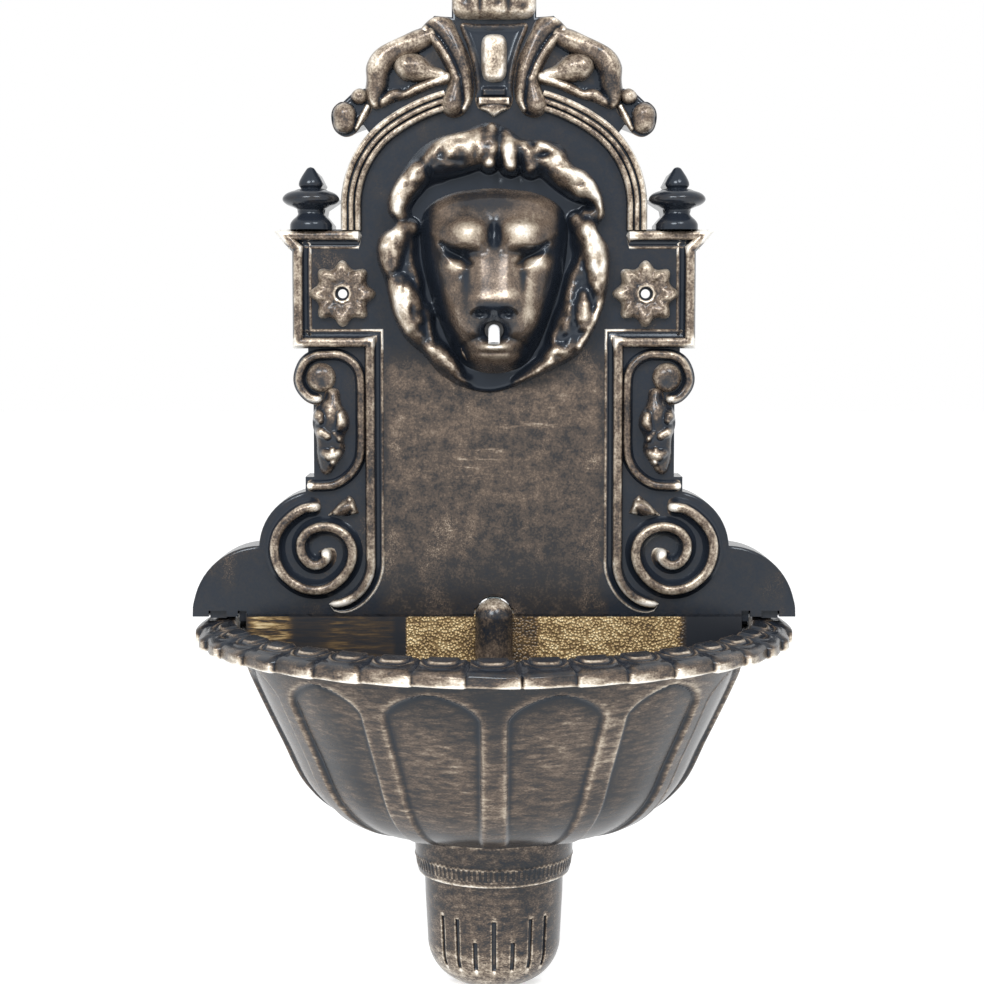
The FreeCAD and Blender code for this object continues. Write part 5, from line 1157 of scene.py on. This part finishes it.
def petalDepth(r, z, turn):
    b = bowlShape
    depth = np.zeros_like(r)
    rise = np.clip((z - b["shoulder"]) / (b["top"] - b["shoulder"]), 0, 1)
    for k in range(b["petals"]):
        centre = math.radians((k - (b["petals"] - 1) / 2) * b["pitch"])
        across = np.abs(r * np.sin(turn - centre))
        rib = np.interp(r, [62, 100], [b["footRib"] / 2, b["rib"] / 2])
        half = (np.minimum(r, 173) * math.sin(math.radians(b["pitch"] / 2)) - rib) * (1 - rise**1.9)**0.62
        within = (np.cos(turn - centre) > 0) * smoothStep(z, -383, -380)
        inside = smoothStep(half - across, 0.0, 3.4) * within
        edge = 0.6 * np.exp(-((half - across + 1.3) / 1.1)**2) * within * smoothStep(z, -378, -350)
        crown = 0.8 * smoothStep(half - across, 4, half * 0.8 + 4.5)
        depth = np.maximum(depth, inside * (b["depth"] - crown)) - edge
    return depth


# Brush marks on the lower bowl, thinner toward its foot
def bowlField(tree, place):
    axes = addNode(tree, "ShaderNodeSeparateXYZ", {0: place})
    foot = rampNumbers(tree, axes.outputs[2], -0.385, -0.345, 0.14, 0.3)
    marks = noiseAt(tree, place, 120.0, (0.45, 0.45, 2.6), 5.0, 0.65, (0.1, 0.12, 0))
    broad = noiseAt(tree, place, 16.0, (1, 1, 0.3), 2.0, 0.5, (0, 0, 0.4))
    amount = doMath(tree, "MULTIPLY", foot, rampNumbers(tree, marks, 0.3, 0.7, 0.62, 1.15))
    return doMath(tree, "MULTIPLY", amount, rampNumbers(tree, broad, 0.36, 0.62, 0.5, 1.1))


# The lip seen from above stays bare
def bowlDust(places):
    return -3.0 * (places[:, 2] > -247.2)


def makeBowl():
    b = bowlShape
    outer = smoothLine(b["outer"], 1.25)
    count = len(outer)
    rows = [(0, -385), (30, -385)] + list(outer) + b["lip"] + list(smoothLine(b["inner"], 5)) + [(0, -375)]

    def shaped(r, z, turn):
        part = slice(3, 1 + count)
        r[part] -= petalDepth(r[part], z[part], turn[part])
        # The lip's ends are wider where the back wall meets them
        ends = smoothStep(np.abs(turn[0]), math.radians(88.2), math.radians(89))
        r[count + 6:count + 8] -= 8 * ends
        z[count + 5:count + 7] += 6.4 * ends
        return r, z

    bm = turnedMesh(rows, np.linspace(-90, 90, 421), shaped)
    closeBack(bm)
    bronze = agedBronze("bowlBronze", patches=0.2, streaks=(1, 1, 4), speckle=0.34, fieldMask=bowlField)
    makePiece("basinBowl", bm, bronze, "basin_bowl", (16, 0.26, 0.0, bowlDust), 50)


# Rim: radii of its inner edge, of its ring and of its lobes. Each lobe has a raised tongue, by its height,
# its middle along the lobe, its reach and the place of a second line round it
rimShape = {
    "inner": 183.1, "ring": 207.0, "lobe": 213.0, "top": -229.6, "low": -245.2, "lobes": 19,
    "pad": 1.6, "padMiddle": 0.47, "padReach": 8.4, "lineReach": 12.0,
}


# Place along a lobe, the way across it, and the distance from the middle of its raised tongue
def rimTongue(r, z, turn):
    s = rimShape
    pitch = math.pi / s["lobes"]
    u = ((turn + math.pi / 2) / pitch) % 1.0
    u = np.where(np.abs(turn - math.pi / 2) < 1e-6, 1.0, u)
    u = np.where(turn > pitch / 2, 1 - u, u)
    across = (u - s["padMiddle"]) * pitch * 200
    out = np.clip(r - 189.5, 0, None) + np.clip(s["top"] - s["pad"] - 3.5 - z, 0, None) * 0.7
    return u, across, np.hypot(np.clip(np.abs(across) - 3.0, 0, None), out)


# Painted highlights as pale lines along the tongues, and paler bronze on the lower outer face toward the
# lower right of each lobe
def rimHighlightsAndPaleEnds(places):
    r = np.hypot(places[:, 0], places[:, 1])
    z = places[:, 2]
    u, _, tongue = rimTongue(np.minimum(r, 208), z, np.arctan2(places[:, 0], -places[:, 1]))
    front = smoothStep(r, 192, 198) * (z > -238)
    lines = np.exp(-((tongue - 7.6) / 0.9)**2) + 0.7 * np.exp(-((tongue - rimShape["lineReach"]) / 0.9)**2)
    face = smoothStep(r, 207, 210) * smoothStep(-z, 237, 241)
    return 0.6 * lines * front + face * (0.08 + 0.42 * smoothStep(u, 0.35, 0.9))


# The outer faces of the lobes are brushed pale, the top stays dark
def rimField(tree, place):
    axes = addNode(tree, "ShaderNodeSeparateXYZ", {0: place})
    flat = addNode(tree, "ShaderNodeCombineXYZ", {0: axes.outputs[0], 1: axes.outputs[1]})
    reach = addNode(tree, "ShaderNodeVectorMath", {0: flat.outputs[0]}, operation="LENGTH").outputs["Value"]
    side = rampNumbers(tree, reach, 0.2055, 0.2095, 0.04, 0.24)
    broad = noiseAt(tree, place, 22.0, (1, 1, 0.4), 3.0, 0.6)
    return doMath(tree, "MULTIPLY", side, rampNumbers(tree, broad, 0.3, 0.7, 0.35, 1.2))


def makeRim():
    s = rimShape
    top, low, inner = s["top"] - s["pad"], s["low"], s["inner"]
    section = [(inner, low), (inner, top - 4.5), (inner + 0.4, top - 2.2), (inner + 1.5, top - 0.7)]
    section += [(inner + 2.9, top)]
    section += [(r, top - 3.0 * ((r - 186.4) / 14)**1.5) for r in np.linspace(187, 200.4, 20)]
    shoulder = np.linspace(0.1, 1.5, 14)
    section += [(200.5 + 6.5 * math.sin(t), top - 3.0 - 4.6 * (1 - math.cos(t))) for t in shoulder]
    section += [(s["ring"], z) for z in np.linspace(top - 8.0, low + 1.2, 7)]
    section += [(s["ring"] - 0.6, low + 0.3), (205.5, low), (194, low), (inner, low)]

    def lobed(r, z, turn):
        u, across, tongue = rimTongue(r, z, turn)
        swell = 0.42 + 0.58 * smoothStep(u, 0.0, 0.85) - 0.58 * smoothStep(u, 0.955, 1.0)
        down = smoothStep(top - z, 1.0, 7.5)
        bulge = (s["lobe"] - s["ring"]) * swell * (0.3 * smoothStep(r, 194, 203) + 0.7 * down) * (r > 193)
        # Raised tongue on each lobe, with a second line round it and a soft dip between the lobes
        pad = s["pad"] * smoothStep(s["padReach"] - tongue, -0.1, 1.6)
        pad += 1.0 * np.exp(-((tongue - s["lineReach"]) / 1.1)**2)
        dip = 1.5 * smoothStep(np.abs(across), 13.5, 16.6)
        onTop = (1 - smoothStep(top - z, 7.5, 9.0)) * smoothStep(r, 183.2, 186.5)
        lift = 4.4 * smoothStep(np.abs(turn), 1.3, 1.52) * np.clip((z - low) / (top - low), 0, 1)
        return r + bulge + 0.6 * onTop * down * pad, z + onTop * (pad - dip) * (1 - 0.35 * down) + lift

    bm = turnedMesh(section, np.linspace(-90, 90, s["lobes"] * 40 + 1), lobed)
    closeBack(bm)
    bronze = agedBronze("rimBronze", patches=0.45, streaks=(1, 1, 2.5), speckle=0.4, fieldMask=rimField)
    makePiece("basinRim", bm, bronze, "basin_rim", (10, 0.22, 0.0, rimHighlightsAndPaleEnds), 60)


makeBowl()
makeRim()
print("basin made")

# Collar as radii and heights under its top, and its row of small teeth
collarShape = {
    "section": [
        (54, 0), (57.2, -0.1), (57.5, -1.5), (57.4, -10), (57.1, -18.4), (56.7, -19.2), (56.2, -21),
        (55.6, -26), (55.2, -29.6), (54.6, -30.8), (51.6, -31), (51.5, -18), (51.5, -0.5), (54, 0)],
    "teeth": 45, "toothHalf": 1.25, "toothDepth": 0.6,
}
# Pendant with its flutes: spread is the angle over all of them, in degrees, and long and short are the
# heights of their heads
pendantShape = {
    "top": -385.0, "low": -498.0, "flutes": 7, "spread": 96.0, "width": 3.0, "depth": 2.0,
    "foot": -479.0, "long": -442.0, "short": -458.0, "shorter": (2, 4),
}


def makeCollar(bronze):
    c, top = collarShape, pendantShape["top"]
    section = [(r, top + z) for r, z in c["section"]]

    def teeth(r, z, turn):
        u = (turn + math.pi / 2) / math.pi * c["teeth"] % 1.0
        tooth = smoothStep(c["toothHalf"] - np.abs(u - 0.5) * math.pi / c["teeth"] * 57, 0, 0.6)
        zone = smoothStep(z, top - 26.6, top - 25.6) * smoothStep(-z, 17.4 - top, 18.4 - top) * (r > 53)
        lines = 0.35 * np.exp(-((z - top + 17.4) / 0.6)**2) + 0.35 * np.exp(-((z - top + 27.2) / 0.6)**2)
        return r + tooth * zone * c["toothDepth"] + lines * (r > 53), z

    bm = turnedMesh(denseLine(section, 0.8), np.linspace(-90, 90, 541), teeth)
    closeBack(bm)
    makePiece("pendantBand", bm, bronze, "pendant_collar", (8, 0.9, 0.1), 40)


# The rounded foot of a wall that stands at radius r, from height z down into its floor
def footArc(r, z, size, turns):
    return [(r - size + size * math.cos(t), z - size * math.sin(t)) for t in turns]


def makePendant(bronze):
    p = pendantShape
    top, low = p["top"], p["low"]
    outer = [(51.2, top - 0.2), (51.2, top - 2), (49.9, top - 48), (48.2, low + 32)]
    outer += footArc(48.2, low + 32, 32, np.linspace(0.08, 1.5708, 22))
    outer = denseLine(outer + [(8, low), (0, low)], 1.4)
    inner = [(0, low + 3.5), (16, low + 3.5)]
    inner += footArc(44.7, low + 32, 28.5, np.linspace(1.5, 0.0, 10))
    inner += [(46.4, top - 48), (47.6, top - 3.7), (0, top - 3.7), (0, top - 0.2), (51.2, top - 0.2)]
    count = len(outer)

    def fluted(r, z, turn):
        depth = np.zeros_like(r[:count])
        for k in range(p["flutes"]):
            centre = math.radians(p["spread"]) * (k / (p["flutes"] - 1) - 0.5)
            head = p["short"] if k in p["shorter"] else p["long"]
            groove = smoothStep(p["width"] / 2 + 0.35 - np.abs(turn[:count] - centre) * 49, 0, 0.7)
            groove = groove * smoothStep(z[:count], p["foot"] - 0.6, p["foot"] + 0.6)
            groove = groove * (1 - smoothStep(z[:count], head - 0.6, head + 0.6))
            depth = np.maximum(depth, groove * p["depth"])
        r[:count] -= depth * (r[:count] > 40)
        return r, z

    bm = turnedMesh(outer + inner, np.linspace(-90, 90, 361), fluted)
    closeBack(bm)
    makePiece("flutedPendant", bm, bronze, "pendant", (10, 0.7, 0.1), 40)


pendantBronze = agedBronze("pendantBronze", field=0.12, patches=0.4, streaks=(1, 1, 2), speckle=0.55)
makeCollar(pendantBronze)
makePendant(pendantBronze)
print("pendant made")

# Gives a piece that keeps its CAD shape its material
def dress(node, material):
    data = frame["nodes"][node].data
    data.materials.clear()
    data.materials.append(material)


# Gilt of the back wall: brightness of its pebbles and of its streaks, as x in millimetres and amount, and
# how many pebbles lie along a metre
giltLook = {
    "pebbles": [
        (-180, 0), (-74, 0), (-62.5, 0), (-61, 1), (-18, 1), (14, 0.5), (30, 0.55), (33, 1), (128, 1),
        (136, 0)],
    "streaks": [
        (-176, 0), (-168, 0.62), (-146, 0.5), (-140, 0.06), (-126, 0.06), (-112, 0.24), (-72, 0.16),
        (-68.5, 0.0), (-62.5, 0.05), (-61, 0.0)],
    "stops": [
        (0.0, (24, 28, 35)), (0.22, (58, 48, 38)), (0.45, (124, 100, 66)), (0.7, (190, 164, 118)),
        (1.0, (240, 222, 180))],
    "size": 500.0, "bump": 0.7, "bumpDepth": 0.0011,
}


# Amounts along the wall; the ramp runs over 400 mm
def alongWall(tree, across, stops):
    place = doMath(tree, "MULTIPLY_ADD", across, 2.5, 0.5)
    return rampStops(tree, place, [(x * 0.0025 + 0.5, (value, value, value, 1)) for x, value in stops])


# Pebbled gold, browner and streaked to the left, bare near the side walls
def hammeredGilt():
    material, tree, shader = startMaterial("hammeredGilt")
    place = addNode(tree, "ShaderNodeTexCoord").outputs["Object"]
    axes = addNode(tree, "ShaderNodeSeparateXYZ", {0: place})
    flat = addNode(tree, "ShaderNodeCombineXYZ", {0: axes.outputs[0], 1: axes.outputs[2]}).outputs[0]
    cells = addNode(
        tree, "ShaderNodeTexVoronoi", {"Vector": flat, "Scale": giltLook["size"], "Randomness": 1.0},
        voronoi_dimensions="2D")
    pebble = rampNumbers(tree, cells.outputs["Distance"], 0.16, 0.6, 1.0, 0.0)
    cloud = noiseAt(tree, place, 90.0, (1, 1, 1.5), 6.0, 0.7)
    streak = noiseAt(tree, place, 150.0, (0.35, 1, 4.0), 6.0, 0.7, (0, 0.28, 0))
    gold = doMath(tree, "MULTIPLY_ADD", pebble, 0.3, rampNumbers(tree, cloud, 0.3, 0.7, 0.26, 0.68))
    gold = doMath(tree, "MULTIPLY", gold, alongWall(tree, axes.outputs[0], giltLook["pebbles"]))
    brown = rampNumbers(tree, streak, 0.36, 0.64, 0.1, 1.5)
    brown = doMath(tree, "MULTIPLY", brown, alongWall(tree, axes.outputs[0], giltLook["streaks"]))
    front = rampNumbers(tree, axes.outputs[1], -0.0016, -0.0008, 1.0, 0.0)
    amount = doMath(tree, "MULTIPLY", doMath(tree, "ADD", gold, brown, clamp=True), front)
    tree.links.new(rampColours(tree, amount, giltLook["stops"]), shader.inputs["Base Color"])
    tree.links.new(rampNumbers(tree, amount, 0.1, 0.6, 0.1, 0.4), shader.inputs["Metallic"])
    shader.inputs["Roughness"].default_value = 0.4
    height = doMath(tree, "MULTIPLY", pebble, alongWall(tree, axes.outputs[0], giltLook["pebbles"]))
    addBump(tree, shader, giltLook["bump"], giltLook["bumpDepth"], height)
    return material


# The cover's domed top is brushed with bronze and painted nearly white, a painted highlight where it catches
# the light
def coverTopHighlight(tree, place):
    axes = addNode(tree, "ShaderNodeSeparateXYZ", {0: place})
    return rampNumbers(tree, axes.outputs[2], -0.2225, -0.2165, 0.0, 0.6)


# The cover's bronze carries the painted highlight on its domed top
coverBronzeAndHighlight = agedBronze("coverBronzeAndHighlight", field=0.22, patches=0.8, speckle=0.5, fieldMask=coverTopHighlight)
dress("hose_cover", coverBronzeAndHighlight)
dress("hook_tabs", agedBronze("tabBronze", field=0.05))
dress("basin_back_wall", hammeredGilt())
finishes = {
    "white_plastic": plainPlastic("whitePlastic", (232, 234, 236), 0.3, spread=0.02),
    "black_plastic": plainPlastic("blackPlastic", (36, 37, 40), 0.45),
    "grey_plastic": plainPlastic("greyPlastic", (120, 124, 128), 0.42),
    "black_rubber": plainPlastic("blackRubber", (28, 28, 29), 0.7),
    "stainless": plainPlastic("stainless", (186, 188, 190), 0.25, 1.0, 0.03, 900.0),
    "clear_hose": plainPlastic("clearHose", (214, 222, 224), 0.15, spread=0.02, clear=0.7),
    "ferrite": plainPlastic("ferrite", (52, 52, 55), 0.5, 0.3),
    "core_steel": plainPlastic("coreSteel", (120, 120, 124), 0.4, 0.9),
    "copper_wire": plainPlastic("copperWire", (176, 104, 62), 0.3, 0.9, 0.08, 1400.0),
}
for part in frame["record"]["subparts"]:
    if part["material_slot"] in finishes:
        dress(part["node"], finishes[part["material_slot"]])
print("works dressed")

# Stage: a pale floor that looks white from the camera, soft lamps and a bright world
stageLook = {"floor": -0.4985, "size": 9, "pale": (0.8, 0.8, 0.8, 1), "glow": 0.6, "world": 0.6}


# 1 for the rays that show the stage itself, 0 for those that only light the fountain
def seenRays(tree):
    path = addNode(tree, "ShaderNodeLightPath")
    seen = doMath(tree, "MAXIMUM", path.outputs["Is Camera Ray"], path.outputs["Is Glossy Ray"])
    return doMath(tree, "MAXIMUM", seen, path.outputs["Is Transmission Ray"])


def makeStage():
    mesh = bpy.data.meshes.new("floor")
    bm = bmesh.new()
    bmesh.ops.create_grid(bm, x_segments=1, y_segments=1, size=stageLook["size"])
    bmesh.ops.translate(bm, vec=(0, 0, stageLook["floor"]), verts=bm.verts)
    bm.to_mesh(mesh)
    bm.free()
    floor = bpy.data.objects.new("floor", mesh)
    bpy.context.scene.collection.objects.link(floor)
    material, tree, shader = startMaterial("paleFloor")
    shader.inputs["Base Color"].default_value = stageLook["pale"]
    shader.inputs["Roughness"].default_value = 0.9
    seen = seenRays(tree)
    glow = addNode(tree, "ShaderNodeEmission", {"Color": (1, 1, 1, 1), "Strength": stageLook["glow"]})
    lit = addNode(tree, "ShaderNodeAddShader", {0: shader.outputs[0], 1: glow.outputs[0]})
    mix = addNode(tree, "ShaderNodeMixShader", {0: seen, 1: shader.outputs[0], 2: lit.outputs[0]})
    tree.links.new(mix.outputs[0], tree.nodes["Material Output"].inputs["Surface"])
    mesh.materials.append(material)
    world = bpy.data.worlds.new("studio")
    bpy.context.scene.world = world
    world.use_nodes = True
    tree = world.node_tree
    seen = seenRays(tree)
    strength = addNode(tree, "ShaderNodeMix", {0: seen, 2: stageLook["world"], 3: 1.0}).outputs[0]
    tree.links.new(strength, tree.nodes["Background"].inputs["Strength"])
    tree.nodes["Background"].inputs["Color"].default_value = (1, 1, 1, 1)


makeStage()

# Soft lamps: name, place, aim, size, power
lamps = [
    ("keyLamp", (-0.5, -1.5, 0.85), (0, 0, -0.08), 0.7, 26),
    ("topLamp", (0.5, -1.1, 0.9), (0, -0.05, -0.1), 0.5, 12),
]
for name, place, aim, size, power in lamps:
    light = bpy.data.lights.new(name, "AREA")
    light.size = size
    light.energy = power
    lamp = bpy.data.objects.new(name, light)
    lamp.location = place
    ahead = np.array(aim) - np.array(place)
    lamp.rotation_euler = (
        math.acos(-ahead[2] / np.linalg.norm(ahead)), 0, math.atan2(ahead[1], ahead[0]) - math.pi / 2)
    bpy.context.scene.collection.objects.link(lamp)
bpy.context.scene.view_settings.view_transform = "Standard"
print("stage set")
